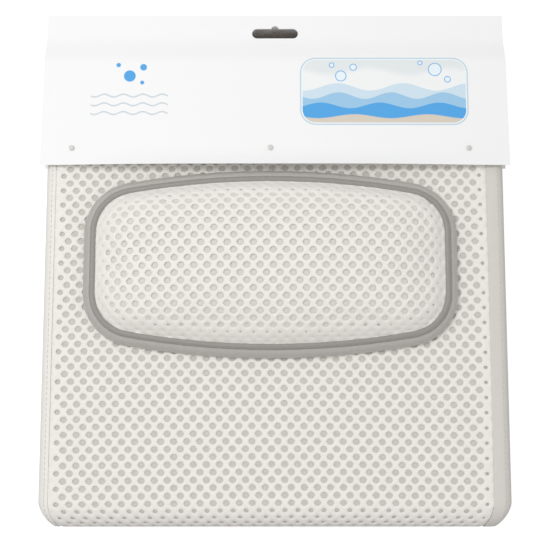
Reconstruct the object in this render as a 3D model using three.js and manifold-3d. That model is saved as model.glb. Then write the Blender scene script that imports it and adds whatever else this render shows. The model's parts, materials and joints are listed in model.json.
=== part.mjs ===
// A full-length bath cushion: a padded mesh mat with a sewn-on pillow and suction cups below.
// It is folded in three, as it is sold, under a hang card that straddles the mat's head end.
// Millimetres, +Z up. +X is the reader's right, and +Y runs from the lower fold to the card.
// The origin is on the surface that the pack lies on, under the middle of its bounding box.

import * as THREE from 'three';
import { mergeVertices } from 'three/addons/utils/BufferGeometryUtils.js';
import Module from 'manifold-3d';

const wasm = await Module();
wasm.setup();

// Fits that every piece shares
const touchGap = 0.3; // between pieces that lie against each other
const cutOverrun = 2; // how far a cutter runs past what it cuts
const weldDistance = 0.0001; // points closer than this are one point

// The mat: three panels of knitted spacer pad between a face mesh and a back mesh
const matWidth = 400;
const padThickness = 18;
const meshThickness = 1.2;
const foldSpacing = 368; // from one fold line to the other
const headOverrun = 18; // how far the head panel runs on past the foot fold
const footClearance = 3; // foot panel's free end to the head panel at its steepest lean
const freeCornerRadius = 30;

// The tape sewn round the mat's edge
const tapeThickness = 0.8;
const tapeLap = 12; // how far it reaches in over the face and the back
const tapeStep = 2; // run over which the mesh dips to pass under the tape

// The two folds
const leanAngle = THREE.MathUtils.degToRad(60); // head panel against the end of the tub
const creaseRadius = 2; // inside radius of the bent pad where the two faces meet
const foldDrawIn = 7; // how much the bent pad draws in at each side
const foldedAngle = Math.PI;

// The suction cups
const cupRadius = 20;
const cupHeight = 8;
const cupRimWidth = 2;
const cupHollow = 4;
const cupLip = 1.2;
const cupWebRadiusShare = 0.7; // of its radius, where the skirt meets the dome
const cupHollowRadiusShare = 0.55;
const cupHollowHeightShare = 0.75;
const cupHeadTopShare = 0.8;
const cupShoulderRadius = 8;
const cupNeckRadius = 4;
const cupHeadRadius = 7;
const cupHeadHeight = 3;
const cupColumnInset = 60; // outer columns from the mat's sides
const cupRowInset = 46; // last row from the head fold
const cupRowMargin = 4; // first row from the card's rear flap

// The pillow, by the outline of its grey edge as seen from above
const pillowWidth = 322;
const pillowLength = 163;
const pillowCornerRadius = 45;
const pillowBowRadius = 715; // of its long sides
const pillowShift = -4; // its middle, from the mat's middle line
const pillowToCard = 7;
const pillowCrown = 30; // rise of the mesh cover above its seam
const baseClothThickness = 0.8;
const edgeBandWidth = 6;
const edgeBandHeight = 10;
const edgeBandThickness = 1;
const pipingRadius = 2.4;
const coverThickness = 1.2;

// The hang card: one sheet folded over the mat's head end, with two flaps of one length
const cardSideReach = 2; // past each side of the mat
const cardGauge = 0.5;
const flapLength = 138;
const cardOverhang = 42; // card beyond the end of the pad
const flapJoin = 26; // the flaps lie together this far from the top fold
const flapReach = 3; // past the pad's end, where they have come apart to its full thickness
const flapLift = 3; // front flap's free edge above the pad, at the sides
const flapBow = 4; // and how much more at the middle
const slotWidth = 41;
const slotHeight = 9;
const slotHumpRadius = 3.5;
const slotHumpRise = 2.6; // over the slot's upper edge
const slotInset = 17; // slot's middle below the top fold

// The three tag pins that hold the card
const pinRadius = 0.7;
const pinHeadRadius = 2.2;
const pinHeadHeight = 0.8;
const pinBarRadius = 0.9;
const pinBarLength = 9;
const pinSideInset = 29; // from the card's sides, of the outer two
const pinShift = -4;
const pinEdgeInset = 13; // from the free edge of the flaps

// Roundness
const rollSteps = 3; // in a quarter turn of the pad's rolled edge
const cornerSteps = 4; // in a free corner of the mat
const foldSteps = 4; // in a quarter turn of a fold
const cupSides = 14;
const holeSides = 10;
const pillowBowSteps = 8;
const pillowCornerSteps = 5;
const pipingSides = 7;
const cardColumns = 10;

// Worked out from the sizes above
const halfPad = padThickness / 2;
const cardWidth = matWidth + 2 * cardSideReach;
const pinSpacing = cardWidth / 2 - pinSideInset;
const meshDrop = tapeThickness + touchGap; // the mesh lies this much lower under the tape
const coreInset = meshThickness + touchGap;
const foldDrop = (cupHeight + touchGap) / 2; // head fold line below the back of the pad
const headFoldOuter = foldDrop + padThickness;
const faceLine = padThickness + touchGap / 2; // foot fold line above the back of the pad
const leanSlope = Math.tan(leanAngle / 2);
const headLength = foldSpacing + headOverrun;
const footLength = foldSpacing - headFoldOuter * leanSlope - footClearance;
const footFoldY = (foldSpacing + headFoldOuter - headOverrun - cardOverhang) / 2;

// Colours, roughness and metalness
const finish = (color, roughness) => new THREE.MeshStandardMaterial({ color, roughness, metalness: 0 });
const meshFinish = () => finish('#ece9e4', 0.85);
const coreFinish = () => finish('#d8d5cf', 0.95);
const tapeFinish = () => finish('#e4e2dd', 0.7);
const satinFinish = () => finish('#a9a7a4', 0.4);
const pipingFinish = () => finish('#8d8b87', 0.5);
const fibreFinish = () => finish('#f4f3f1', 1);
const cupFinish = () => finish('#dfe8ea', 0.2);
const cardFinish = () => finish('#f6f6f6', 0.45);
const pinFinish = () => finish('#e9e9e6', 0.4);

const point = (x, y, z) => new THREE.Vector3(x, y, z);
const steps = (count) => Array.from({ length: count + 1 }, (_, step) => step / count);
const ease = (share) => share * share * (3 - 2 * share);

// Solids

// The two axes that show the most of a flat section.
function flatAxes(row) {
  const pairs = [['x', 'y'], ['y', 'z'], ['z', 'x']];
  const shown = ([u, v]) => Math.abs(THREE.ShapeUtils.area(row.map((p) => new THREE.Vector2(p[u], p[v]))));
  return pairs.reduce((best, pair) => (shown(pair) > shown(best) ? pair : best));
}

// Triangles that fill a flat section, wound the way the section runs.
function filled(row) {
  const [u, v] = flatAxes(row);
  const flat = row.map((p) => new THREE.Vector2(p[u], p[v]));
  const runs = Math.sign(THREE.ShapeUtils.area(flat));
  return THREE.ShapeUtils.triangulateShape(flat, []).map((face) => {
    const turns = Math.sign(THREE.ShapeUtils.area(face.map((i) => flat[i])));
    return turns === runs ? face : [face[0], face[2], face[1]];
  });
}

function signedVolume(points, faces) {
  const six = faces.reduce((sum, [a, b, c]) => sum + points[a].dot(points[b].clone().cross(points[c])), 0);
  return six / 6;
}

function bodyOf(points, faces) {
  const outward = signedVolume(points, faces) > 0 ? faces : faces.map(([a, b, c]) => [a, c, b]);
  const geometry = new THREE.BufferGeometry().setFromPoints(points);
  geometry.setIndex(outward.flat());
  return geometry;
}

// One closed body over rows of points. Each row is a closed section, and all have one count.
// A ring of rows closes on itself, and any other run of rows is filled at both ends.
function skinned(rows, ring = false) {
  const count = rows[0].length;
  const faces = [];
  for (let row = 0; row < (ring ? rows.length : rows.length - 1); row++) {
    const here = row * count;
    const next = ((row + 1) % rows.length) * count;
    for (let i = 0; i < count; i++) {
      const j = (i + 1) % count;
      faces.push([here + i, here + j, next + j]);
      faces.push([here + i, next + j, next + i]);
    }
  }
  if (!ring) {
    const last = (rows.length - 1) * count;
    faces.push(...filled(rows[0]).map(([a, b, c]) => [a, c, b]));
    faces.push(...filled(rows.at(-1)).map((face) => face.map((i) => i + last)));
  }
  return bodyOf(rows.flat(), faces);
}

function solidOf(geometry) {
  const bare = geometry.clone();
  bare.deleteAttribute('normal');
  bare.deleteAttribute('uv');
  const merged = mergeVertices(bare, weldDistance);
  const corners = merged.index.array;
  const kept = [];
  for (let i = 0; i < corners.length; i += 3) {
    const [a, b, c] = corners.slice(i, i + 3);
    if (a !== b && b !== c && c !== a) kept.push(a, b, c);
  }
  const vertProperties = merged.attributes.position.array;
  const mesh = { numProp: 3, vertProperties, triVerts: new Uint32Array(kept) };
  return new wasm.Manifold(new wasm.Mesh(mesh));
}

function geometryOf(solid) {
  const mesh = solid.getMesh();
  const geometry = new THREE.BufferGeometry();
  geometry.setAttribute('position', new THREE.BufferAttribute(mesh.vertProperties, 3));
  geometry.setIndex(new THREE.BufferAttribute(mesh.triVerts, 1));
  return geometry;
}

function cut(geometry, cutters) {
  return geometryOf(cutters.reduce((solid, cutter) => solid.subtract(solidOf(cutter)), solidOf(geometry)));
}

function joined(geometry, others) {
  return geometryOf(others.reduce((solid, other) => solid.add(solidOf(other)), solidOf(geometry)));
}

// A post or cutter of radius r about the upright line through (x, y), from bottom to top.
function post(x, y, radius, bottom, top) {
  const geometry = new THREE.CylinderGeometry(radius, radius, top - bottom, holeSides);
  geometry.rotateX(Math.PI / 2);
  geometry.translate(x, y, (bottom + top) / 2);
  return geometry;
}

// A turned body about the upright line through (x, y), from its profile of [radius, height].
function turned(x, y, profile, sides) {
  const geometry = new THREE.LatheGeometry(profile.map(([r, h]) => new THREE.Vector2(r, h)), sides);
  geometry.rotateX(Math.PI / 2);
  geometry.translate(x, y, 0);
  return geometry;
}

function named(name, geometry, material) {
  const mesh = new THREE.Mesh(geometry, material);
  mesh.name = name;
  return mesh;
}

// Panels. In a panel's own frame the mat lies open with its face up: Y runs toward the head,
// and Z is 0 at the back of the pad and padThickness at its face.

// The plan of a panel with one free end, from its fold, round the free end and back.
// toward is 1 where the free end is the panel's far end, and -1 where it is the near one.
// over runs the plan on past the fold.
function horseshoe(panel, inset, z, over = 0) {
  const side = matWidth / 2;
  const end = panel.length - freeCornerRadius;
  const points = [point(side - inset, panel.foldEdge(z) - over, z)];
  for (const half of [1, -1]) {
    for (const share of steps(cornerSteps)) {
      const angle = (half > 0 ? share : 1 + share) * Math.PI / 2;
      const reach = freeCornerRadius - inset;
      const x = half * (side - freeCornerRadius) + reach * Math.cos(angle);
      points.push(point(x, end + reach * Math.sin(angle), z));
    }
  }
  points.push(point(inset - side, panel.foldEdge(z) - over, z));
  return points.map((p) => point(p.x * panel.toward, p.y * panel.toward, p.z));
}

const horseshoeLast = 2 * cornerSteps + 3; // its last point

// The plan of the middle panel, which has a fold at each end.
function oblong(panel, inset, z, over = 0) {
  const side = matWidth / 2 - inset;
  const near = panel.nearEdge(z) - over;
  const far = panel.farEdge(z) + over;
  return [point(side, near, z), point(side, far, z), point(-side, far, z), point(-side, near, z)];
}

const footPanel = {
  name: 'foot',
  plan: horseshoe,
  toward: -1,
  length: footLength,
  foldEdge: () => touchGap,
};
const middlePanel = {
  name: 'middle',
  plan: oblong,
  nearEdge: () => touchGap,
  farEdge: (z) => foldSpacing - touchGap - leanSlope * (z + foldDrop),
};
const headPanel = {
  name: 'head',
  plan: horseshoe,
  toward: 1,
  length: headLength,
  foldEdge: (z) => touchGap + leanSlope * (z + foldDrop),
};

// The rolled edge at a depth below the pad's outer surface, as [inset, height] pairs.
function roll(depth, from, to) {
  const radius = halfPad - depth;
  const turn = (share) => THREE.MathUtils.lerp(from, to, share) * Math.PI / 2;
  const count = rollSteps * Math.abs(to - from);
  return steps(count).map((share) => [
    halfPad - radius * Math.cos(turn(share)),
    halfPad + radius * Math.sin(turn(share)),
  ]);
}

// The upper half of the rolled edge, which stops at the seam half way down the side.
function upperRoll(depth) {
  const seam = halfPad + touchGap / 2;
  return roll(depth, 0, 1).map(([inset, z], i) => [inset, i === 0 ? seam : z]);
}

// The upper half of the pad at a depth below the mesh's outside, as [inset, height] pairs: from
// the side seam round the edge, in under the tape, and up to the open face.
function upperPad(depth) {
  return [
    ...upperRoll(meshDrop + depth),
    [tapeLap, padThickness - meshDrop - depth],
    [tapeLap + tapeStep, padThickness - depth],
  ];
}

// One mesh, a shell that is open at the seam and at the folds. heightAt turns it over for the back.
function meshShell(panel, heightAt) {
  const planned = (over) => ([inset, z]) => panel.plan(panel, inset, heightAt(z), over);
  const lining = upperPad(meshThickness);
  lining.unshift([lining[0][0], lining[0][1] - cutOverrun]);
  return cut(skinned(upperPad(0).map(planned(0))), [skinned(lining.map(planned(cutOverrun)))]);
}

const faceMesh = (panel) => meshShell(panel, (z) => z);
const backMesh = (panel) => meshShell(panel, (z) => padThickness - z);

// The spacer core, inside both meshes.
function spacerCore(panel) {
  const depth = meshDrop + coreInset;
  const rim = [[tapeLap, padThickness - depth], [tapeLap + tapeStep, padThickness - coreInset]];
  const low = rim.map(([inset, z]) => [inset, padThickness - z]).reverse();
  const profile = [...low, ...roll(depth, -1, 1), ...rim];
  return skinned(profile.map(([inset, z]) => panel.plan(panel, inset, z)));
}

// The section of the edge tape, folded round the pad's edge from face to back.
function tapeProfile() {
  const outer = [[tapeLap, padThickness], ...roll(0, 1, -1), [tapeLap, 0]];
  const inner = [
    [tapeLap, tapeThickness],
    ...roll(tapeThickness, -1, 1),
    [tapeLap, padThickness - tapeThickness],
  ];
  return [...outer, ...inner];
}

// Tape along part of a panel's plan, from one plan point to another.
function edgeTape(panel, first, last) {
  const rings = tapeProfile().map(([inset, z]) => panel.plan(panel, inset, z));
  const rows = [];
  for (let place = first; place <= last; place++) {
    rows.push(rings.map((ring) => ring[place]));
  }
  return skinned(rows);
}

// Folds. Each is the pad itself, bent round the fold line in two quarter turns that meet
// half way, one carried by each panel. Here Y points away from the panel that carries it.

// The section of the bent pad, as [x, radius] pairs, between its inner and outer radius.
function bentSection(inner, outer, drawIn) {
  const half = (outer - inner) / 2;
  const side = matWidth / 2 - half - drawIn;
  const right = steps(2 * rollSteps).map((share) => {
    const turn = (share - 1 / 2) * Math.PI;
    return [side + half * Math.cos(turn), inner + half + half * Math.sin(turn)];
  });
  return [...right, ...right.map(([x, radius]) => [-x, radius]).reverse()];
}

// A quarter turn of pad. slope leans the cut where it meets the panel, and rise is 1 for a
// bend over the fold line and -1 for one under it.
function bentPad(inner, outer, slope, rise) {
  const rows = steps(foldSteps).map((share) => {
    const turn = share * Math.PI / 2;
    const drawIn = foldDrawIn * Math.sin(turn) ** 2;
    return bentSection(inner, outer, drawIn).map(([x, radius]) => {
      const up = touchGap / 2 + (radius - touchGap / 2) * Math.cos(turn);
      return point(x, radius * Math.sin(turn), rise * up);
    });
  });
  if (slope > 0) {
    rows.unshift(bentSection(inner, outer, 0).map(([x, radius]) => point(x, -slope * radius, rise * radius)));
  }
  return skinned(rows);
}

// Suction cups

// A cup hangs by its neck through the back mesh, with its round head in a pocket of the core.
function cup(x, y) {
  const rim = -cupHeight;
  const seat = meshThickness + touchGap;
  const top = seat + cupHeadHeight;
  const profile = [
    [0, rim + cupHollow],
    [cupRadius * cupHollowRadiusShare, rim + cupHollow * cupHollowHeightShare],
    [cupRadius - cupRimWidth, rim],
    [cupRadius, rim],
    [cupRadius, rim + cupLip],
    [cupRadius * cupWebRadiusShare, rim + cupHollow],
    [cupShoulderRadius, -touchGap],
    [cupNeckRadius, -touchGap],
    [cupNeckRadius, seat],
    [cupHeadRadius, seat],
    [cupHeadRadius * cupHeadTopShare, top],
    [0, top],
  ];
  return turned(x, y, profile, cupSides);
}

function cupPocket(x, y) {
  const top = coreInset + cupHeadHeight + touchGap;
  return post(x, y, cupHeadRadius + touchGap, -cutOverrun, top);
}

function cupHole(x, y) {
  return post(x, y, cupNeckRadius + touchGap, -cutOverrun, meshThickness + cutOverrun);
}

// Rows of cups, as Y in each panel's frame. Closed, the cups of the middle and head panels
// share the gap between their backs, so their rows alternate, clear of the card's rear flap.
const cardReach = flapLength - cardOverhang - headOverrun;
const firstRow = cardReach + cupRowMargin + cupRadius;
const lastRow = foldSpacing - cupRowInset;
const rowGapCount = 3; // between the four rows that alternate
const rowPitch = (lastRow - firstRow) / rowGapCount;
const footRowShares = [0.25, 0.77];
const footRows = footRowShares.map((share) => -share * footLength);
const middleRows = [firstRow, firstRow + 2 * rowPitch];
const headRows = [cupRowInset, cupRowInset + 2 * rowPitch];
const cupColumn = matWidth / 2 - cupColumnInset;
const cupPlaces = (rows) => rows.flatMap((y) => [-cupColumn, 0, cupColumn].map((x) => [x, y]));

// The pillow. Its frame is the head panel's, moved to the middle of the pillow on the face.

const pillowTop = headLength + cardOverhang - flapLength - pillowToCard;
const pillowY = pillowTop - pillowLength / 2;
const pipingInset = edgeBandWidth + touchGap + pipingRadius;
const coverInset = pipingInset + pipingRadius + touchGap;
const coverBottom = baseClothThickness + 2 * touchGap;
const seamHeight = baseClothThickness + edgeBandHeight;

// The pillow's outline, drawn in by an inset: bowed long sides, round corners, straight ends.
function pillowOutline(inset, z) {
  const radius = pillowCornerRadius - inset;
  const bow = pillowBowRadius - inset;
  const cornerX = pillowWidth / 2 - pillowCornerRadius;
  const bowY = pillowLength / 2 - pillowBowRadius;
  const cornerY = bowY + Math.sqrt((pillowBowRadius - pillowCornerRadius) ** 2 - cornerX ** 2);
  const tilt = Math.asin(cornerX / (pillowBowRadius - pillowCornerRadius));
  const corner = steps(pillowCornerSteps).map((share) => {
    const turn = share * (Math.PI / 2 - tilt);
    return [cornerX + radius * Math.cos(turn), cornerY + radius * Math.sin(turn)];
  });
  const side = steps(pillowBowSteps).slice(1, -1).map((share) => {
    const turn = Math.PI / 2 - tilt + 2 * tilt * share;
    return [bow * Math.cos(turn), bowY + bow * Math.sin(turn)];
  });
  const far = [...corner, ...side, ...corner.map(([x, y]) => [-x, y]).reverse()];
  const all = [...far, ...far.map(([x, y]) => [-x, -y])];
  return all.map(([x, y]) => point(x, y, z));
}

// Rows of a crown over an outline: widthShares scale it, and riseShares lift it.
const crownWidthShares = [1, 0.965, 0.9, 0.78, 0.6, 0.36];
const crownRiseShares = [0, 0.27, 0.52, 0.76, 0.92, 0.99];
function crownRows(inset, bottom, rise) {
  return crownWidthShares.map((width, i) => {
    const z = bottom + rise * crownRiseShares[i];
    return pillowOutline(inset, z).map((p) => point(p.x * width, p.y * width, z));
  });
}

// The mesh cover: a crowned shell, open below, that stands inside the piping.
function pillowCover() {
  const lining = coverInset + coverThickness;
  const rows = [
    pillowOutline(lining, coverBottom),
    ...crownRows(lining, seamHeight - coverThickness, pillowCrown),
  ];
  const outside = [
    pillowOutline(coverInset, coverBottom),
    ...crownRows(coverInset, seamHeight, pillowCrown),
  ];
  return skinned([...rows.reverse(), ...outside]);
}

// The loose fibre filling, a crowned cushion inside the cover.
function pillowFilling() {
  const inset = coverInset + coverThickness + touchGap;
  const shoulder = seamHeight - coverThickness - touchGap;
  return skinned([pillowOutline(inset, coverBottom), ...crownRows(inset, shoulder, pillowCrown)]);
}

// The flat cloth that closes the pillow below, sewn to the mat's face.
function pillowBaseCloth() {
  const inset = edgeBandThickness + 2 * touchGap;
  return skinned([pillowOutline(inset, touchGap), pillowOutline(inset, touchGap + baseClothThickness)]);
}

// A closed section of [inset, height] pairs carried all the way round the pillow.
function alongOutline(section) {
  const rings = section.map(([inset, z]) => pillowOutline(inset, z));
  return skinned(rings[0].map((_, place) => rings.map((ring) => ring[place])), true);
}

// The satin edge band: a bowed strip from the pillow's foot up to the piping.
function pillowEdgeBand() {
  const strip = (depth) => steps(rollSteps).map((share) => {
    const turn = share * Math.PI / 2;
    const inset = edgeBandWidth - (edgeBandWidth - depth) * Math.cos(turn);
    return [inset, touchGap + (edgeBandHeight - depth) * Math.sin(turn)];
  });
  const section = [...strip(0), ...strip(edgeBandThickness).reverse()];
  return alongOutline(section);
}

// The piping cord along the seam between the edge band and the cover.
function pillowPiping() {
  return alongOutline(steps(pipingSides).slice(1).map((share) => {
    const turn = share * 2 * Math.PI;
    return [pipingInset + pipingRadius * Math.cos(turn), seamHeight + pipingRadius * Math.sin(turn)];
  }));
}

// The hang card, in the head panel's frame

const cardTop = headLength + cardOverhang;
const cardSeat = halfPad + touchGap; // inner face of a flap from the middle of the pad
const togetherSeat = touchGap / 2; // the same, where the flaps lie together
const flapApart = cardOverhang + flapReach; // below the top fold, where they are at full thickness

// Distances below the top fold at which the card's section has a point, down one flap.
const flapOpenShares = [0, 0.25, 0.5, 0.75, 1];
const flapRunShares = [0.3, 0.6, 0.85, 1];
const frontStops = [
  0,
  ...flapOpenShares.map((share) => THREE.MathUtils.lerp(flapJoin, flapApart, share)),
  ...flapRunShares.map((share) => THREE.MathUtils.lerp(flapApart, flapLength, share)),
];
const rearStops = frontStops.filter((stop) => stop <= flapApart || stop === flapLength);

// Height of a flap's inner face over the middle of the pad, at a distance below the top fold.
function flapHeight(down) {
  const opening = THREE.MathUtils.clamp((down - flapJoin) / (flapApart - flapJoin), 0, 1);
  return THREE.MathUtils.lerp(togetherSeat, cardSeat, ease(opening));
}

// How far the front flap stands off the pad. It bows up between its pins.
function frontLift(x, down) {
  const along = Math.max(0, (down - flapApart) / (flapLength - flapApart));
  const across = 1 - (2 * x / cardWidth) ** 2;
  return (flapLift + flapBow * across) * along ** 2;
}

// The card's section at x: out along the front flap, over the top fold, down the rear flap, and
// back along the inside.
function cardSection(x) {
  const front = (gauge) => frontStops.map((down) => {
    return point(x, cardTop - down, halfPad + flapHeight(down) + frontLift(x, down) + gauge);
  });
  const rear = (gauge) => rearStops.map((down) => {
    return point(x, cardTop - down, halfPad - flapHeight(down) - gauge);
  });
  const crease = (line) => line.map((p, i) => (i ? p : point(x, p.y, (p.z + halfPad) / 2)));
  const inside = (line) => line.map((p, i) => (i ? p : point(x, p.y - cardGauge, p.z)));
  return [
    ...crease(front(cardGauge)).reverse(),
    ...crease(rear(cardGauge)),
    ...inside(rear(0)).reverse(),
    ...inside(front(0)),
  ];
}

// The slot that a display hook goes through: long and level, with a round hump over its middle.
function slotCutter() {
  const half = slotHeight / 2;
  const slot = new THREE.Shape();
  slot.absarc(slotWidth / 2 - half, 0, half, -Math.PI / 2, Math.PI / 2);
  slot.absarc(half - slotWidth / 2, 0, half, Math.PI / 2, 3 * Math.PI / 2);
  const depth = 2 * cutOverrun;
  const bar = new THREE.ExtrudeGeometry(slot, { depth, bevelEnabled: false, curveSegments: holeSides / 2 });
  bar.translate(0, cardTop - slotInset, halfPad - cutOverrun);
  const humpY = cardTop - slotInset + half + slotHumpRise - slotHumpRadius;
  return joined(bar, [post(0, humpY, slotHumpRadius, halfPad - cutOverrun, halfPad + cutOverrun)]);
}

function hangCard() {
  const columns = steps(cardColumns).map((share) => (share - 1 / 2) * cardWidth);
  const sheet = skinned(columns.map(cardSection));
  return cut(sheet, [slotCutter(), ...pinHoles()]);
}

// The tag pins, each a shaft with a flat head in front and a cross bar behind

const pinDown = flapLength - pinEdgeInset;
const pinY = cardTop - pinDown;
const pinPlaces = [-1, 0, 1].map((side) => pinShift + side * pinSpacing);

function pinHoles() {
  const over = padThickness + flapLift + flapBow + cutOverrun;
  return pinPlaces.map((x) => post(x, pinY, pinRadius + touchGap, -cutOverrun - cardGauge, over));
}

function tagPin(x) {
  const front = padThickness + frontLift(x, pinDown + pinHeadRadius) + 3 * touchGap + cardGauge;
  const rear = -2 * touchGap - cardGauge;
  const profile = [
    [0, rear - pinBarRadius],
    [pinRadius, rear - pinBarRadius],
    [pinRadius, front],
    [pinHeadRadius, front],
    [pinHeadRadius, front + pinHeadHeight / 2],
    [0, front + pinHeadHeight],
  ];
  const bar = new THREE.CylinderGeometry(pinBarRadius, pinBarRadius, pinBarLength, holeSides);
  bar.rotateZ(Math.PI / 2);
  bar.translate(x, pinY, rear - pinBarRadius);
  return joined(turned(x, pinY, profile, holeSides), [bar]);
}

// Assembly

function cupMeshes(panel, rows) {
  return cupPlaces(rows).map(([x, y], i) => {
    return named(`${panel.name}_suction_cup_${i + 1}`, cup(x, y), cupFinish());
  });
}

// The pad of one panel: face mesh, spacer core and back mesh, with the holes that go through.
function padMeshes(panel, rows, holes) {
  const places = cupPlaces(rows);
  const core = [...places.map(([x, y]) => cupPocket(x, y)), ...holes];
  const back = [...places.map(([x, y]) => cupHole(x, y)), ...holes];
  return [
    named(`${panel.name}_face_mesh`, cut(faceMesh(panel), holes), meshFinish()),
    named(`${panel.name}_spacer_core`, cut(spacerCore(panel), core), coreFinish()),
    named(`${panel.name}_back_mesh`, cut(backMesh(panel), back), meshFinish()),
  ];
}

// A fold at the height z over the back of the panel that carries it. The bent pad is in two
// halves: the lower one goes on from this panel and the upper one from the panel beyond. As the
// fold opens, each turns half as far as that panel, so that the two stay together.
function bentFold(name, half, y, z, angle, beyond) {
  const lower = named(`${name}_lower_half`, half(), meshFinish());
  const upper = named(`${name}_upper_half`, half(), meshFinish());
  upper.rotation.z = Math.PI;
  beyond.position.z = -z;
  const next = new THREE.Group();
  next.rotation.x = angle;
  next.add(upper, beyond);
  const fold = new THREE.Group();
  fold.position.set(0, y, z);
  return fold.add(lower, next);
}

const footFoldHalf = () => bentPad(creaseRadius, faceLine, 0, -1);
const headFoldHalf = () => bentPad(foldDrop, headFoldOuter, leanSlope, 1);

function pillowMeshes() {
  const pieces = [
    named('pillow_base_cloth', pillowBaseCloth(), meshFinish()),
    named('pillow_edge_band', pillowEdgeBand(), satinFinish()),
    named('pillow_piping', pillowPiping(), pipingFinish()),
    named('pillow_mesh_cover', pillowCover(), meshFinish()),
    named('pillow_fibre_filling', pillowFilling(), fibreFinish()),
  ];
  const pillow = new THREE.Group();
  pillow.position.set(pillowShift, pillowY, padThickness);
  return pillow.add(...pieces);
}

// Each panel's group holds what moves with it.
const footGroup = new THREE.Group();
const middleGroup = new THREE.Group();
const headGroup = new THREE.Group();

headGroup.add(
  ...padMeshes(headPanel, headRows, pinHoles()),
  named('head_edge_tape', edgeTape(headPanel, 0, horseshoeLast), tapeFinish()),
  ...cupMeshes(headPanel, headRows),
  pillowMeshes(),
  named('hang_card', hangCard(), cardFinish()),
  ...pinPlaces.map((x, i) => named(`tag_pin_${i + 1}`, tagPin(x), pinFinish())),
);

middleGroup.add(
  ...padMeshes(middlePanel, middleRows, []),
  named('middle_edge_tape_right', edgeTape(middlePanel, 0, 1), tapeFinish()),
  named('middle_edge_tape_left', edgeTape(middlePanel, 2, 3), tapeFinish()),
  ...cupMeshes(middlePanel, middleRows),
  bentFold('head_fold', headFoldHalf, foldSpacing, -foldDrop, -foldedAngle, headGroup),
);

footGroup.add(
  ...padMeshes(footPanel, footRows, []),
  named('foot_edge_tape', edgeTape(footPanel, 0, horseshoeLast), tapeFinish()),
  ...cupMeshes(footPanel, footRows),
  bentFold('foot_fold', footFoldHalf, 0, faceLine, foldedAngle, middleGroup),
);
footGroup.position.set(0, footFoldY, cupHeight);

const cushion = new THREE.Group();
cushion.add(footGroup);

export default cushion;
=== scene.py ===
# A full-length bath cushion, folded as it is sold: its fabrics, foam, cups, pillow and card.
# Metres, +Z up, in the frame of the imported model. +Y runs from the lower fold to the card.

import json
import math

import bmesh
import bpy
import numpy as np
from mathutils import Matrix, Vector, bvhtree


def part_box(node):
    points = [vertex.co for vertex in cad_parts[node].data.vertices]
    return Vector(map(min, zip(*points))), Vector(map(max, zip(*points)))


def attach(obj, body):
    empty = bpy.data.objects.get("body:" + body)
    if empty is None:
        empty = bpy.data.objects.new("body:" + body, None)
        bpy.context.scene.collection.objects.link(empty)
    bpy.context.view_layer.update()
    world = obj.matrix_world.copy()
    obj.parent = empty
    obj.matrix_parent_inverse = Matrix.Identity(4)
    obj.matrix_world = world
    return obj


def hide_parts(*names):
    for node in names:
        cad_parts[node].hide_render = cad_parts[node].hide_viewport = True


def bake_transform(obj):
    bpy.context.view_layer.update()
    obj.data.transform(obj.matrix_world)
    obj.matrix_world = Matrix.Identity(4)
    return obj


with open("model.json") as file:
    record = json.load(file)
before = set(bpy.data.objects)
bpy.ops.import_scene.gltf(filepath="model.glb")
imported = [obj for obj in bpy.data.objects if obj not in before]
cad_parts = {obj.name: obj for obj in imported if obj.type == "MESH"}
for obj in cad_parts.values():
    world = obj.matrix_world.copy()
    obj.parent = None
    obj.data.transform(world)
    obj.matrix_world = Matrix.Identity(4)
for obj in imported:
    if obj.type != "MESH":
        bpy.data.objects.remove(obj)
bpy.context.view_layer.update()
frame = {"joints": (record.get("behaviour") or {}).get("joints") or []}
MM = 0.001


# The view: straight down from a little toward the lower fold, as the pack lies on a table.
# The photograph's width is 474 mm at the height of the mat's face.
AIM = Vector((0, -11 * MM, 70 * MM))
DISTANCE = 1.0
ELEVATION = math.radians(82)
FRAME_WIDTH = 474 * MM

camera = bpy.data.objects.new("camera", bpy.data.cameras.new("camera"))
bpy.context.scene.collection.objects.link(camera)
camera.data.lens = camera.data.sensor_width * DISTANCE / FRAME_WIDTH
camera.location = AIM + DISTANCE * Vector((0, -math.cos(ELEVATION), math.sin(ELEVATION)))
camera.rotation_euler = (math.pi / 2 - ELEVATION, 0, 0)
bpy.context.scene.camera = camera
bpy.context.scene.view_settings.view_transform = "Standard"


# The table under the pack and the light over it. The table is white to the camera, keeps half of
# the pack's shadow, and is painted with a dark grey shade where the pack shuts it in, as below the card's
# slot.
# Most of the light is soft and from all round. A lamp at the left does the modelling.
TABLE_SIZE = 40.0
TABLE_GREY = "#a4a4a4"
TABLE_GLOW = 0.82
# Painted shade: the dark grey that the table is given where the pack shuts it in.
PAINTED_SHADE_GREY = "#5a544e"
UNDER_REACH = 120 * MM
UNDER_TURN = math.radians(40)  # toward the pack, from under its card
SHUT_IN, OPEN_AIR = 0.46, 0.53  # shares of the air over the table that are free
SKY = 0.65
LAMPS = [
    # name, place, width, power
    ("key_lamp", (-0.65, 0.38, 1.65), 0.6, 10.5),
    ("fill_lamp", (1.1, -0.5, 1.6), 1.4, 2.0),
]


def linear(colour):
    """A hex colour as linear red, green, blue and alpha."""
    shares = [int(colour[i:i + 2], 16) / 255 for i in (1, 3, 5)]
    return [s / 12.92 if s <= 0.04045 else ((s + 0.055) / 1.055) ** 2.4 for s in shares] + [1]


def add(tree, kind, inputs=None, **settings):
    """Adds a node with its settings. An input is a value or the socket that feeds it."""
    made = tree.nodes.new(kind)
    for name, value in settings.items():
        setattr(made, name, value)
    for name, value in (inputs or {}).items():
        if isinstance(value, bpy.types.NodeSocket):
            tree.links.new(value, made.inputs[name])
        else:
            made.inputs[name].default_value = value
    return made


def maths(tree, operation, *values, clamp=False):
    """The result of one step of arithmetic on values or sockets."""
    made = add(tree, "ShaderNodeMath", dict(enumerate(values)), operation=operation, use_clamp=clamp)
    return made.outputs[0]


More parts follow.
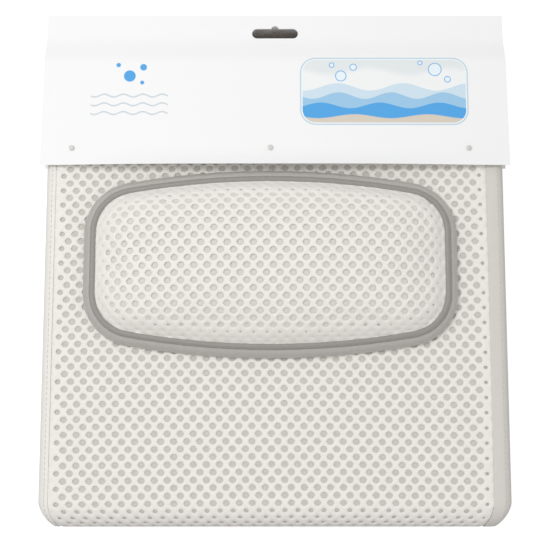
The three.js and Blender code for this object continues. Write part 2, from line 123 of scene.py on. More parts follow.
def new_material(name):
    """A material and its empty tree."""
    material = bpy.data.materials.new(name)
    material.use_nodes = True
    material.node_tree.nodes.clear()
    return material, material.node_tree


table_material, tree = new_material("white_table")
seen = add(tree, "ShaderNodeLightPath").outputs
seen_at_all = maths(tree, "MAXIMUM", maths(tree, "MAXIMUM", seen["Is Camera Ray"], seen["Is Glossy Ray"]),
                    seen["Is Transmission Ray"])
matte = add(tree, "ShaderNodeBsdfDiffuse", {"Color": linear(TABLE_GREY)})
glow = add(tree, "ShaderNodeEmission", {"Strength": TABLE_GLOW})
clear = add(tree, "ShaderNodeAddShader", {0: matte.outputs[0], 1: glow.outputs[0]})
toward = add(tree, "ShaderNodeCombineXYZ", {"Y": -math.sin(UNDER_TURN), "Z": math.cos(UNDER_TURN)})
air = add(tree, "ShaderNodeAmbientOcclusion", {"Distance": UNDER_REACH, "Normal": toward.outputs[0]},
          samples=64)
free = add(tree, "ShaderNodeMapRange", {
    "Value": air.outputs["AO"], "From Min": SHUT_IN, "From Max": OPEN_AIR})
# Painted shade: a dark diffuse that replaces the white table where the occlusion mask finds it shut in.
under = add(tree, "ShaderNodeBsdfDiffuse", {"Color": linear(PAINTED_SHADE_GREY)})
ground = add(tree, "ShaderNodeMixShader", {0: free.outputs[0], 1: under.outputs[0], 2: clear.outputs[0]})
top = add(tree, "ShaderNodeMixShader", {0: seen_at_all, 1: matte.outputs[0], 2: ground.outputs[0]})
add(tree, "ShaderNodeOutputMaterial", {"Surface": top.outputs[0]})

bpy.ops.mesh.primitive_plane_add(size=TABLE_SIZE)
table = bpy.context.object
table.name = "table"
table.data.materials.append(table_material)

world = bpy.data.worlds.new("studio")
world.use_nodes = True
bpy.context.scene.world = world
tree = world.node_tree
tree.nodes.clear()
seen = add(tree, "ShaderNodeLightPath").outputs["Is Camera Ray"]
lit, white = (add(tree, "ShaderNodeBackground", {"Color": (1, 1, 1, 1), "Strength": strength}).outputs[0]
              for strength in (SKY, 1.0))
shown = add(tree, "ShaderNodeMixShader", {0: seen, 1: lit, 2: white})
add(tree, "ShaderNodeOutputWorld", {"Surface": shown.outputs[0]})

for name, place, width, power in LAMPS:
    lamp = bpy.data.objects.new(name, bpy.data.lights.new(name, "AREA"))
    lamp.data.size = width
    lamp.data.energy = power
    lamp.location = place
    lamp.rotation_euler = (AIM - Vector(place)).to_track_quat("-Z", "Y").to_euler()
    bpy.context.scene.collection.objects.link(lamp)


# The lie of the mat. It is one long padded strip, folded twice. A place on it is its distance
# from the foot end, its distance from the middle line, and its height over the back of the pad.
PAD = 18 * MM
HALF_WIDTH = 200 * MM
TOUCH = 0.3 * MM
joint = {j["name"]: j for j in frame["joints"]}
FOOT_LINE = Vector(joint["foot_fold"]["pos_m"])
HEAD_LINE = Vector(joint["head_fold"]["pos_m"])
FOOT_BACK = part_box("foot_edge_tape")[0].z
MIDDLE_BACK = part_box("middle_edge_tape_left")[1].z
HEAD_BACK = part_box("head_edge_tape")[0].z
FOOT_BEND = (2 * MM, 18.15 * MM)  # inner and outer radius
HEAD_BEND = (HEAD_BACK - HEAD_LINE.z, HEAD_BACK - HEAD_LINE.z + PAD)
FOLD_DRAW_IN = 7 * MM
LEAN_SLOPE = math.tan(math.radians(30))

FOOT_END = 0.0
FOOT_FOLD = FOOT_LINE.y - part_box("foot_edge_tape")[0].y
MIDDLE_START = FOOT_FOLD + math.pi * FOOT_BEND[1]
MIDDLE_END = MIDDLE_START + FOOT_LINE.y - HEAD_LINE.y
HEAD_START = MIDDLE_END + math.pi * HEAD_BEND[1]
HEAD_END = HEAD_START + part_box("head_edge_tape")[1].y - HEAD_LINE.y


def laid(along, across, height):
    """Where places on the mat lie in the folded pack. Takes arrays, and gives rows of x, y, z."""
    along, across, height = np.broadcast_arrays(*[np.asarray(v, float) for v in (along, across, height)])
    turn_foot = np.pi * np.clip((along - FOOT_FOLD) / (MIDDLE_START - FOOT_FOLD), 0, 1)
    turn_head = np.pi * np.clip((along - MIDDLE_END) / (HEAD_START - MIDDLE_END), 0, 1)
    foot_reach = FOOT_BEND[1] - height * (FOOT_BEND[1] - FOOT_BEND[0]) / PAD
    head_reach = HEAD_BEND[0] + height
    stretches = [along < FOOT_FOLD, along < MIDDLE_START, along <= MIDDLE_END, along < HEAD_START]
    y = np.select(stretches, [
        FOOT_LINE.y - FOOT_FOLD + along,
        FOOT_LINE.y + foot_reach * np.sin(turn_foot),
        FOOT_LINE.y + MIDDLE_START - along,
        HEAD_LINE.y - head_reach * np.sin(turn_head),
    ], HEAD_LINE.y + along - HEAD_START)
    z = np.select(stretches, [
        FOOT_BACK + height,
        FOOT_LINE.z - foot_reach * np.cos(turn_foot),
        MIDDLE_BACK - height,
        HEAD_LINE.z - head_reach * np.cos(turn_head),
    ], HEAD_BACK + height)
    draw_in = FOLD_DRAW_IN * (np.sin(turn_foot) ** 2 + np.sin(turn_head) ** 2)
    x = across * (1 - draw_in / HALF_WIDTH)
    return np.stack([x, y, z], -1)


CREASE_ANGLE = math.radians(50)  # sharper edges than this stay edges


def mesh_piece(name, points, faces, material):
    """A smooth mesh object in place, with its faces turned outward where it is closed."""
    mesh = bpy.data.meshes.new(name)
    mesh.from_pydata([tuple(p) for p in points], [], faces)
    work = bmesh.new()
    work.from_mesh(mesh)
    bmesh.ops.recalc_face_normals(work, faces=work.faces)
    work.to_mesh(mesh)
    work.free()
    mesh.shade_smooth()
    mesh.set_sharp_from_angle(angle=CREASE_ANGLE)
    mesh.materials.append(material)
    piece = bpy.data.objects.new(name, mesh)
    bpy.context.scene.collection.objects.link(piece)
    return piece


def bands(rings):
    """Faces between neighbouring rings of point numbers. A ring may be one point over and over."""
    faces = []
    for low, high in zip(rings, rings[1:]):
        for i in range(len(low)):
            j = (i + 1) % len(low)
            faces.append(tuple(dict.fromkeys((low[i], low[j], high[j], high[i]))))
    return faces


def lofted(name, rows, material, ring=False):
    """A closed body over rows of points, each a closed section. A ring of rows has no ends."""
    rows = np.asarray(rows)
    count, size = rows.shape[:2]
    rings = [range(i * size, (i + 1) * size) for i in range(count)]
    faces = bands(rings + rings[:1]) if ring else bands(rings) + [tuple(rings[0]), tuple(rings[-1])]
    return mesh_piece(name, rows.reshape(-1, 3), faces, material)


# The knitted mesh of the mat's face and back: warp-knitted polyester with staggered round holes
# and full, rounded ribs between them. Each is one net of joined cells, laid over the pad.
HOLE_PITCH = 11 * MM  # along a row, across the mat
ROW_PITCH = 6.4 * MM
# A cell's corner lies equally far from the middles of three holes.
CELL_REACH = ((HOLE_PITCH / 2) ** 2 + ROW_PITCH ** 2) / (2 * ROW_PITCH)
FACE_HOLE = (2.9 * MM, 2.7 * MM)  # half its width and half its length
BACK_HOLE = (2.0 * MM, 1.8 * MM)
FACE_HOLE_SIDES, BACK_HOLE_SIDES = 12, 6
HOLE_RIM = ((1.22, 0.14), (1.0, 0.62), (1.03, 1.0))  # shares of the hole's size and the net's thickness
NET_THICKNESS = 1.2 * MM
NET_WELD = 0.02 * MM
NET_COLOUR = "#f6f3ee"
NET_SHADE = "#ece8e2"
MOTTLE = 9 * MM
LOOP_PITCH = 1.3 * MM  # real loops are finer than the picture can show
LOOP_TURN = math.radians(35)
LOOP_WOBBLE = 1.5
LOOP_RELIEF = (0.4, 0.3 * MM)  # strength and depth
WAVE_UNITS = 20  # of the wave texture's scale to one wave


def noise(tree, size, detail=2.0):
    """Soft noise in patches of a size."""
    place = add(tree, "ShaderNodeTexCoord").outputs["Object"]
    made = add(tree, "ShaderNodeTexNoise", {"Vector": place, "Scale": 1 / size, "Detail": detail})
    return made.outputs["Fac"]


def yarns(tree, pitch, wobble=0.0, turn=0.0, way="X"):
    """Even rows of yarn at a pitch, one after another along X or Y, and turned about Z."""
    place = add(tree, "ShaderNodeTexCoord").outputs["Object"]
    turned = add(tree, "ShaderNodeMapping", {"Vector": place, "Rotation": (0, 0, turn)})
    scale = 2 * math.pi / WAVE_UNITS / pitch
    made = add(tree, "ShaderNodeTexWave", {"Vector": turned.outputs[0], "Scale": scale, "Distortion": wobble},
               bands_direction=way)
    return made.outputs["Fac"]


def mixed(tree, share, first, second):
    """A colour between two. Each is a hex colour, a linear one or a socket."""
    first, second = (linear(c) if isinstance(c, str) else c for c in (first, second))
    return add(tree, "ShaderNodeMix", {0: share, 6: first, 7: second}, data_type="RGBA").outputs[2]


def surface(tree, inputs, relief=None, relief_size=None):
    """Ends a material's tree. A relief's size is its strength and depth."""
    shader = add(tree, "ShaderNodeBsdfPrincipled", inputs)
    if relief is not None:
        strength, depth = relief_size
        bump = add(tree, "ShaderNodeBump", {"Height": relief, "Strength": strength, "Distance": depth})
        tree.links.new(bump.outputs[0], shader.inputs["Normal"])
    add(tree, "ShaderNodeOutputMaterial", {"Surface": shader.outputs[0]})


# Loops of yarn run along both diagonals of the knit.
net_material, tree = new_material("knitted_polyester")
loops = [yarns(tree, LOOP_PITCH, LOOP_WOBBLE, turn) for turn in (LOOP_TURN, -LOOP_TURN)]
surface(tree, {"Base Color": mixed(tree, noise(tree, MOTTLE, 3.0), NET_COLOUR, NET_SHADE), "Roughness": 0.85,
               "Sheen Weight": 0.15}, maths(tree, "MULTIPLY", *loops), LOOP_RELIEF)


def net_cell(name, hole, sides):
    """One cell of a net: a six-cornered tile whose ribs round down into the hole in its middle."""
    reach, side = HOLE_PITCH / 2, ROW_PITCH - CELL_REACH
    corners = [(reach, -side), (reach, side), (0, CELL_REACH)]
    corners += [(-x, -y) for x, y in corners]
    if sides > len(corners):
        pairs = zip(corners, corners[1:] + corners[:1])
        corners = [p for a, b in pairs for p in (a, ((a[0] + b[0]) / 2, (a[1] + b[1]) / 2))]
    points = [(x, y, 0.0) for x, y in corners]
    for share, drop in HOLE_RIM:
        points += [(hole[0] * share * x / math.hypot(x, y), hole[1] * share * y / math.hypot(x, y),
                    -drop * NET_THICKNESS) for x, y in corners]
    mesh = bpy.data.meshes.new(name)
    mesh.from_pydata(points, [], bands([range(i, i + sides) for i in range(0, len(points), sides)]))
    return bpy.data.objects.new(name, mesh)


def node_tree(name, *sockets):
    """A Geometry Nodes tree with named inputs, and its input node's outputs."""
    made = bpy.data.node_groups.new(name, "GeometryNodeTree")
    made.interface.new_socket("Geometry", in_out="INPUT", socket_type="NodeSocketGeometry")
    for label, kind in sockets:
        made.interface.new_socket(label, in_out="INPUT", socket_type="NodeSocket" + kind)
    made.interface.new_socket("Geometry", in_out="OUTPUT", socket_type="NodeSocketGeometry")
    return made, add(made, "NodeGroupInput").outputs


def copied(tree, shape, points, **inputs):
    """Real copies of an object, one at each point."""
    shape = add(tree, "GeometryNodeObjectInfo", {"Object": shape}).outputs["Geometry"]
    made = add(tree, "GeometryNodeInstanceOnPoints", {"Points": points, "Instance": shape, **inputs})
    return add(tree, "GeometryNodeRealizeInstances", {"Geometry": made.outputs[0]}).outputs[0]


def end_tree(tree, geometry, material):
    """Gives the tree's geometry its material and puts it out."""
    dyed = add(tree, "GeometryNodeSetMaterial", {"Geometry": geometry, "Material": material})
    add(tree, "NodeGroupOutput", {0: dyed.outputs[0]})


def fixed(piece):
    """Gives a piece the mesh that its modifiers make, and removes them."""
    made = bpy.data.meshes.new_from_object(piece.evaluated_get(bpy.context.evaluated_depsgraph_get()))
    piece.modifiers.clear()
    piece.data = made


def grown(name, tree, values, seed=None):
    """A new plain mesh object that a Geometry Nodes tree makes from the named input values."""
    piece = bpy.data.objects.new(name, seed or bpy.data.meshes.new(name))
    bpy.context.scene.collection.objects.link(piece)
    nodes = piece.modifiers.new("grow", "NODES")
    nodes.node_group = tree
    for socket in tree.interface.items_tree:
        if socket.in_out == "INPUT" and socket.name in values:
            nodes[socket.identifier] = values[socket.name]
    fixed(piece)
    piece.data.shade_smooth()
    return piece


net_tree, given = node_tree(
    "knitted_net", ("Cell", "Object"), ("Columns", "Int"), ("Rows", "Int"), ("First row", "Int"),
    ("Column pitch", "Float"), ("Row pitch", "Float"), ("Material", "Material"))
count = maths(net_tree, "MULTIPLY", given["Columns"], given["Rows"])
line = add(net_tree, "GeometryNodeMeshLine", {"Count": count, "Offset": (0, 0, 0)})
order = add(net_tree, "GeometryNodeInputIndex").outputs[0]
row = maths(net_tree, "FLOOR", maths(net_tree, "DIVIDE", order, given["Columns"]))
row = maths(net_tree, "ADD", row, given["First row"])
column = maths(net_tree, "MODULO", order, given["Columns"])
# Every other row is set off by half a column.
staggered = maths(net_tree, "MULTIPLY_ADD", maths(net_tree, "FLOORED_MODULO", row, 2.0), 0.5, column)
spot = add(net_tree, "ShaderNodeCombineXYZ", {
    "X": maths(net_tree, "MULTIPLY", staggered, given["Column pitch"]),
    "Y": maths(net_tree, "MULTIPLY", row, given["Row pitch"])})
spread = add(net_tree, "GeometryNodeSetPosition", {"Geometry": line.outputs[0], "Position": spot.outputs[0]})
cells = copied(net_tree, given["Cell"], spread.outputs[0])
welded = add(net_tree, "GeometryNodeMergeByDistance", {"Geometry": cells, "Distance": NET_WELD})
end_tree(net_tree, welded.outputs[0], given["Material"])


def hole_middles(x, y):
    """The middle of the hole that is nearest to each place on a flat net."""
    even = np.stack([np.round(x / HOLE_PITCH), 2 * np.round(y / ROW_PITCH / 2)], -1)
    odd = np.stack([np.floor(x / HOLE_PITCH) + 0.5, 2 * np.floor(y / ROW_PITCH / 2) + 1], -1)
    even, odd = even * (HOLE_PITCH, ROW_PITCH), odd * (HOLE_PITCH, ROW_PITCH)
    to_even, to_odd = (np.hypot(x - middle[:, 0], y - middle[:, 1]) for middle in (even, odd))
    return np.where((to_even < to_odd)[:, None], even, odd)


def flat_net(name, columns, first_row, last_row, cell):
    """A flat net, centred across, whose rows lie at whole row pitches, with its points and the
    middle of the hole that each of them is nearest to."""
    net = grown(name, net_tree, {
        "Cell": cell, "Columns": columns, "Rows": last_row - first_row + 1, "First row": first_row,
        "Column pitch": HOLE_PITCH, "Row pitch": ROW_PITCH, "Material": net_material})
    points = points_of(net)
    middles = hole_middles(points[:, 0], points[:, 1])
    centre = (columns - 0.5) * HOLE_PITCH / 2
    points[:, 0] -= centre
    middles[:, 0] -= centre
    return net, points, middles


def eased(share):
    """A share held between 0 and 1, with soft ends."""
    share = np.clip(share, 0, 1)
    return share * share * (3 - 2 * share)


def drawn_shut(points, middles, size):
    """Points of a net whose holes have shrunk to a share of their size."""
    size = np.where(points[:, 2] < 0, size, 1)
    return (middles[:, 0] + (points[:, 0] - middles[:, 0]) * size,
            middles[:, 1] + (points[:, 1] - middles[:, 1]) * size, points[:, 2] * size)


def points_of(piece):
    """A piece's points, as rows of x, y, z."""
    points = np.empty(len(piece.data.vertices) * 3, np.float32)
    piece.data.vertices.foreach_get("co", points)
    return points.reshape(-1, 3).astype(float)


def put(piece, points):
    """Moves a piece's points to their places."""
    piece.data.vertices.foreach_set("co", np.asarray(points, np.float32).ravel())
    piece.data.update()


def trimmed(piece, keep):
    """Removes the points that aren't kept, with their faces."""
    work = bmesh.new()
    work.from_mesh(piece.data)
    bmesh.ops.delete(work, geom=[v for v, kept in zip(work.verts, keep) if not kept], context="VERTS")
    work.to_mesh(piece.data)
    work.free()


# The tape laps further in on the right than on the left, and its net gives a little, so the
# rows of holes wander by up to a millimetre.
CORNER = 30 * MM
LAP_LEFT, LAP_RIGHT, LAP_END = 9 * MM, 16 * MM, 12 * MM
SIDE_SLACK = 1 * MM  # how far past a place's inset the side may be and still be its nearest edge
TAPE_STEP = 3 * MM
TAPE_SINK = 1.1 * MM
NET_HEM = 4 * MM  # the net's own edge, from the mat's edge
WANDER = 0.9 * MM
WANDER_WAVE = 75 * MM
TAPE_DRAW, SHUT_BY_TAPE = (1.5 * MM, 9 * MM), 0.04
FOLD_DRAW, SHUT_BY_FOLD = 12 * MM, 0.6
ROLL = PAD / 2


def wandered(along, across):
    """Places on the net, shifted by slow waves. Their odd factors keep them out of step."""
    turn_a, turn_b = along / WANDER_WAVE, across / WANDER_WAVE
    return (along + WANDER * np.sin(turn_b + 2.1 * np.sin(0.61 * turn_a)),
            across + WANDER * np.sin(1.3 * turn_a + 0.4) * np.cos(0.8 * turn_b + 1))


def inset_at(along, across):
    """How far a place on the mat lies inside its edge, which has round free corners."""
    side = HALF_WIDTH - np.abs(across)
    end = np.minimum(along, HEAD_END - along)
    corner = CORNER - np.hypot(CORNER - side, CORNER - end)
    return np.where((side < CORNER) & (end < CORNER), corner, np.minimum(side, end))


def past_tape(along, across):
    """How far a place on the mat lies inside the tape's inner edge."""
    inset = inset_at(along, across)
    by_end = HALF_WIDTH - np.abs(across) > inset + SIDE_SLACK
    return inset - np.where(by_end, LAP_END, np.where(across < 0, LAP_LEFT, LAP_RIGHT))


def net_sink(along, across):
    """How far the net dips at the mat's edge, where it passes under the tape and rounds over."""
    inset = inset_at(along, across)
    rounding = ROLL - np.sqrt(ROLL ** 2 - np.clip(ROLL - inset, 0, ROLL) ** 2)
    return TAPE_SINK * eased(1 - past_tape(along, across) / TAPE_STEP) + rounding


def hole_size(along, across):
    """The share of its size that a hole keeps. The seams of the tape draw the holes beside them
    shut, and so does the pull of the net round a fold."""
    by_tape = eased((past_tape(along, across) - TAPE_DRAW[0]) / (TAPE_DRAW[1] - TAPE_DRAW[0]))
    from_fold = np.minimum(np.maximum(FOOT_FOLD - along, along - MIDDLE_START),
                           np.maximum(MIDDLE_END - along, along - HEAD_START))
    by_fold = eased(1 + from_fold / FOLD_DRAW)
    return (SHUT_BY_TAPE + (1 - SHUT_BY_TAPE) * by_tape) * (SHUT_BY_FOLD + (1 - SHUT_BY_FOLD) * by_fold)


face_cell = net_cell("face_cell", FACE_HOLE, FACE_HOLE_SIDES)
back_cell = net_cell("back_cell", BACK_HOLE, BACK_HOLE_SIDES)
NET_COLUMNS = 36


def mat_net(name, face_up, start, end, cut_start=True, cut_end=True):
    """The net over one stretch of the mat, on its face or its back. Where it isn't cut, its last
    cells lock with those of the net that goes on there."""
    first_row = math.ceil((start - (CELL_REACH if cut_start else 0)) / ROW_PITCH)
    last_row = math.ceil((end + (CELL_REACH if cut_end else 0)) / ROW_PITCH) - 1
    cell = face_cell if face_up else back_cell
    net, points, middles = flat_net(name, NET_COLUMNS, first_row, last_row, cell)
    across, along, drop = drawn_shut(points, middles, hole_size(middles[:, 1], middles[:, 0]))
    along, across = wandered(along, across)
    along = np.clip(along, start if cut_start else FOOT_END, end if cut_end else HEAD_END)
    height = PAD - net_sink(along, across) + drop
    put(net, laid(along, across, height if face_up else PAD - height))
    if not face_up:
        net.data.flip_normals()
    trimmed(net, inset_at(along, across) > NET_HEM)
    return net


BEVEL = LEAN_SLOPE * (PAD + HEAD_BEND[0])  # of the panels' ends at the head fold, at the face
SEAM = BEVEL + 2 * MM  # where the fold's own net meets the panels' nets
FOOT_MIDDLE = (FOOT_FOLD + MIDDLE_START) / 2
HEAD_MIDDLE = (MIDDLE_END + HEAD_START) / 2
PANEL_NETS = [
    # panel, face up, start, end, cut at the start, cut at the end
    ("foot", True, FOOT_END, FOOT_FOLD - TOUCH, True, True),
    ("foot", False, FOOT_END, FOOT_FOLD, True, True),
    ("middle", True, MIDDLE_START + TOUCH, MIDDLE_END - SEAM, True, False),
    ("middle", False, MIDDLE_START, MIDDLE_END - TOUCH, True, True),
    ("head", True, HEAD_START + SEAM, HEAD_END, False, True),
    ("head", False, HEAD_START + TOUCH, HEAD_END, True, True),
]
for panel, face_up, start, end, cut_start, cut_end in PANEL_NETS:
    side = "face" if face_up else "back"
    net = mat_net(f"{panel}_{side}_net", face_up, start, end, cut_start, cut_end)
    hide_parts(f"{panel}_{side}_mesh")
    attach(net, f"{panel}_panel")


# The springy pad between the two nets: upright monofilament threads, 15 mm long, packed close.
# Only their ends show, through the holes, as a slightly streaky grey ground. The grey is partly the
# threads' own tone and partly painted shade, for the light that is lost deep in the pile.
# Partly painted shade: the pile's grey stands in for the light lost deep between its threads.
PILE_COLOUR = "#d8d3cd"
PILE_SHADE = "#c6c1ba"
PILE_INSET = 1.25 * MM
PILE_RELIEF = (0.6, 0.4 * MM)
THREAD_GROUP = 0.9 * MM

pile_material, tree = new_material("monofilament_pile")
place = add(tree, "ShaderNodeTexCoord").outputs["Object"]
tufts = add(tree, "ShaderNodeTexVoronoi", {"Vector": place, "Scale": 1 / THREAD_GROUP}).outputs["Distance"]
dye = mixed(tree, tufts, PILE_SHADE, PILE_COLOUR)
surface(tree, {"Base Color": dye, "Roughness": 0.9}, tufts, PILE_RELIEF)

PAD_SIDE_STEPS = 8
PAD_FACE_STEPS = 12
PAD_END_STEPS = 7
PAD_CORNER_STEPS = 4
PAD_STEP = 12 * MM
SLIVER = 0.05 * MM  # keeps a round end from closing to nothing


def pad_section(along, bulge=0.0):
    """The pad's section at a place along the mat, as across and height. It is round at the
    sides, and rolls off toward a free end. Where it is bent it bulges against the net."""
    end = max(min(along, HEAD_END - along), PILE_INSET + SLIVER)
    thick = ROLL - PILE_INSET + bulge
    rolled = math.sqrt(max(thick ** 2 - max(ROLL - end, 0) ** 2, 0)) if end < ROLL else thick
    half = HALF_WIDTH - CORNER + math.sqrt(CORNER ** 2 - max(CORNER - end, 0) ** 2) - ROLL
    turns = [math.pi * i / PAD_SIDE_STEPS - math.pi / 2 for i in range(PAD_SIDE_STEPS + 1)]
    right = [(half + thick * math.cos(t), ROLL + rolled * math.sin(t)) for t in turns]
    left = [(-x, ROLL * 2 - h) for x, h in right]
    flat = [1 - 2 * i / PAD_FACE_STEPS for i in range(1, PAD_FACE_STEPS)]
    top = [(half * share, ROLL + rolled) for share in flat]
    return right + top + left + [(-x, ROLL * 2 - h) for x, h in top]


def pad_row(stop, cut, bulge=0.0):
    """The pad's section as it lies at a stop, or where a cut holds it back."""
    across, height = np.array(pad_section(stop, bulge)).T
    along = np.full(len(across), stop)
    return laid(cut(along, height) if cut else along, across, height)


def pad_piece(name, start, end, cut):
    """The pad over one stretch of the mat. Its stops crowd together where it rolls off."""
    stops = list(np.linspace(start, end, max(2, round((end - start) / PAD_STEP))))
    ease = [ROLL * (1 - math.cos(math.pi / 2 * i / PAD_END_STEPS)) for i in range(PAD_END_STEPS)]
    ease += [ROLL + (CORNER - ROLL) * i / PAD_CORNER_STEPS for i in range(PAD_CORNER_STEPS)]
    if start <= PILE_INSET:
        stops = [PILE_INSET + e for e in ease] + [s for s in stops if s > CORNER + PILE_INSET]
    if end >= HEAD_END - PILE_INSET:
        stops = [s for s in stops if s < HEAD_END - CORNER - PILE_INSET] + [
            HEAD_END - PILE_INSET - e for e in reversed(ease)]
    return lofted(name, [pad_row(stop, cut) for stop in stops], pile_material)


def bevel(height):
    """How far a panel's end keeps back from the head fold, which leaves room for the lean."""
    return TOUCH + LEAN_SLOPE * (height + HEAD_BEND[0])


def before_fold(along, height):
    return np.minimum(along, MIDDLE_END - bevel(height))


def past_fold(along, height):
    return np.maximum(along, HEAD_START + bevel(height))


for panel, start, end, cut in (
        ("foot", FOOT_END, FOOT_FOLD - TOUCH, None),
        ("middle", MIDDLE_START + TOUCH, MIDDLE_END, before_fold),
        ("head", HEAD_START, HEAD_END, past_fold)):
    pad = pad_piece(f"{panel}_pad", start, end, cut)
    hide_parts(f"{panel}_spacer_core")
    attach(pad, f"{panel}_panel")


# The tape sewn round the mat's edge: a flat-woven polyester strip, folded over the edge and
# held by one row of lock stitches through both sides.
TAPE = 0.8 * MM
TAPE_ROUND = 0.2 * MM  # at its two edges
TAPE_LEFT, TAPE_RIGHT_SHADED = "#f3f0eb", "#dad6d0"  # darker to the right: painted shade, as the light comes from the left
TAPE_PATCH, TAPE_FADE = 14 * MM, 0.94
TAPE_RIB = 1.0 * MM
TAPE_WOBBLE = 0.6
TAPE_RELIEF = (0.35, 0.2 * MM)
ROLL_STEPS = 12
STITCH_PITCH = 4.5 * MM
STITCH_INSET = 6 * MM
STITCH_RISE = math.sqrt(ROLL ** 2 - (ROLL - STITCH_INSET) ** 2)  # over the middle of the tape's roll
STITCH = (1.5 * MM, 0.3 * MM, 0.22 * MM)  # half its length, width and height
STITCH_FORM = ((-1, 0.25), (-0.8, 0.85), (0, 1), (0.8, 0.85), (1, 0.25))  # shares of its length and thickness
STITCH_SIDES = 6
THREAD_COLOUR = "#c9c4bb"
THREAD_TWIST = 0.5 * MM
THREAD_RELIEF = (0.5, 0.1 * MM)


def ranged(tree, share, low, high):
    """A share as a value between two others."""
    return add(tree, "ShaderNodeMapRange", {"Value": share, "To Min": low, "To Max": high}).outputs[0]


tape_material, tree = new_material("woven_tape")
spot = add(tree, "ShaderNodeSeparateXYZ", {0: add(tree, "ShaderNodeTexCoord").outputs["Object"]})
# Painted shade: the tape's colour darkens from left to right across the mat.
painted_shade_share = add(tree, "ShaderNodeMapRange", {
    "Value": spot.outputs["X"], "From Min": -HALF_WIDTH, "From Max": HALF_WIDTH})
dye = mixed(tree, painted_shade_share.outputs[0], TAPE_LEFT, TAPE_RIGHT_SHADED)
fade = ranged(tree, noise(tree, TAPE_PATCH, 4.0), TAPE_FADE, 1.0)
colour = add(tree, "ShaderNodeVectorMath", {0: dye, "Scale": fade}, operation="SCALE")
surface(tree, {"Base Color": colour.outputs[0], "Roughness": 0.7, "Sheen Weight": 0.1},
        yarns(tree, TAPE_RIB, TAPE_WOBBLE, way="Y"), TAPE_RELIEF)

thread_material, tree = new_material("sewing_thread")
twist = noise(tree, THREAD_TWIST)
surface(tree, {"Base Color": linear(THREAD_COLOUR), "Roughness": 0.6}, twist, THREAD_RELIEF)


def circle(count):
    """The cosine and sine of even turns round a circle."""
    return [(math.cos(2 * math.pi * i / count), math.sin(2 * math.pi * i / count)) for i in range(count)]


def stitch_piece(name, half_length, half_width, half_height):
    """One stitch: a low dash of thread along X, rounded off at both ends."""
    rows = [[(along * half_length, share * half_width * x, share * half_height * y)
             for x, y in circle(STITCH_SIDES)] for along, share in STITCH_FORM]
    piece = lofted(name, rows, thread_material)
    bpy.context.scene.collection.objects.unlink(piece)
    return piece


tree, given = node_tree("stitch_row", ("Stitch", "Object"), ("Pitch", "Float"), ("Material", "Material"))
path = add(tree, "GeometryNodeMeshToCurve", {"Mesh": given["Geometry"]})
evened = add(tree, "GeometryNodeResampleCurve", {"Curve": path.outputs[0], "Length": given["Pitch"]},
             mode="LENGTH")
heading = add(tree, "GeometryNodeInputTangent")
turn = add(tree, "FunctionNodeAlignRotationToVector", {"Vector": heading.outputs[0]}, axis="X")
stitches = copied(tree, given["Stitch"], evened.outputs[0], Rotation=turn.outputs[0])
end_tree(tree, stitches, given["Material"])
stitch_tree = tree

tape_stitch = stitch_piece("tape_stitch", *STITCH)


def join(piece, other):
    """Takes another object's mesh up into a piece's."""
    work = bmesh.new()
    work.from_mesh(piece.data)
    work.from_mesh(other.data)
    work.to_mesh(piece.data)
    work.free()
    bpy.data.objects.remove(other)


def sew(piece, path):
    """Sews a row of stitches along a path of points onto a piece of tape."""
    seed = bpy.data.meshes.new("path")
    seed.from_pydata([tuple(p) for p in path], [(i, i + 1) for i in range(len(path) - 1)], [])
    values = {"Stitch": tape_stitch, "Pitch": STITCH_PITCH, "Material": thread_material}
    row = grown("stitch_row", stitch_tree, values, seed)
    if thread_material.name not in piece.data.materials:
        piece.data.materials.append(thread_material)
    index = piece.data.materials.find(thread_material.name)
    row.data.polygons.foreach_set("material_index", [index] * len(row.data.polygons))
    join(piece, row)


def tape_profile(lap):
    """The tape's section as inset and height: over the face, round the edge and under the back."""
    lap = max(lap, ROLL + SLIVER)
    turns = [math.pi * i / ROLL_STEPS for i in range(ROLL_STEPS + 1)]
    outer = [(ROLL - ROLL * math.sin(t), ROLL + ROLL * math.cos(t)) for t in turns]
    inner = ROLL - TAPE
    lining = [(ROLL - inner * math.sin(t), ROLL + inner * math.cos(t)) for t in reversed(turns)]
    edge = lap - TAPE_ROUND
    return ([(edge, PAD)] + outer + [(edge, 0), (lap, TAPE / 2), (edge, TAPE)] + lining
            + [(edge, PAD - TAPE), (lap, PAD - TAPE / 2)])


TAPE_STRIDE = 4 * MM
TAPE_CORNER_STOPS = 10
TAPE_END_STOPS = 60


def edge_path(start, end, side, stride=TAPE_STRIDE):
    """Places along one straight side: along, across, and the way in from the edge."""
    stops = np.linspace(start, end, max(2, round(abs(end - start) / stride)))
    return [(stop, side * HALF_WIDTH, 0, -side) for stop in stops]


def corner_path(end, toward, side, first_turn, last_turn):
    """Places round a free corner. Toward is the way along the mat from its free end."""
    middle = end + toward * CORNER
    places = []
    for turn in np.linspace(first_turn, last_turn, TAPE_CORNER_STOPS)[1:-1]:
        out_along, out_across = -toward * math.sin(turn), side * math.cos(turn)
        places.append((middle + CORNER * out_along, side * (HALF_WIDTH - CORNER) + CORNER * out_across,
                       -out_along, -out_across))
    return places


def horseshoe_path(fold, end):
    """Up one side of an end panel, round its free end and back along the other side."""
    toward = 1 if fold > end else -1
    turning = end + toward * CORNER
    straight = np.linspace(CORNER - HALF_WIDTH, HALF_WIDTH - CORNER, TAPE_END_STOPS)
    return (edge_path(fold, turning, -1) + corner_path(end, toward, -1, 0, math.pi / 2)
            + [(end, across, toward, 0) for across in straight]
            + corner_path(end, toward, 1, math.pi / 2, 0) + edge_path(turning, fold, 1))


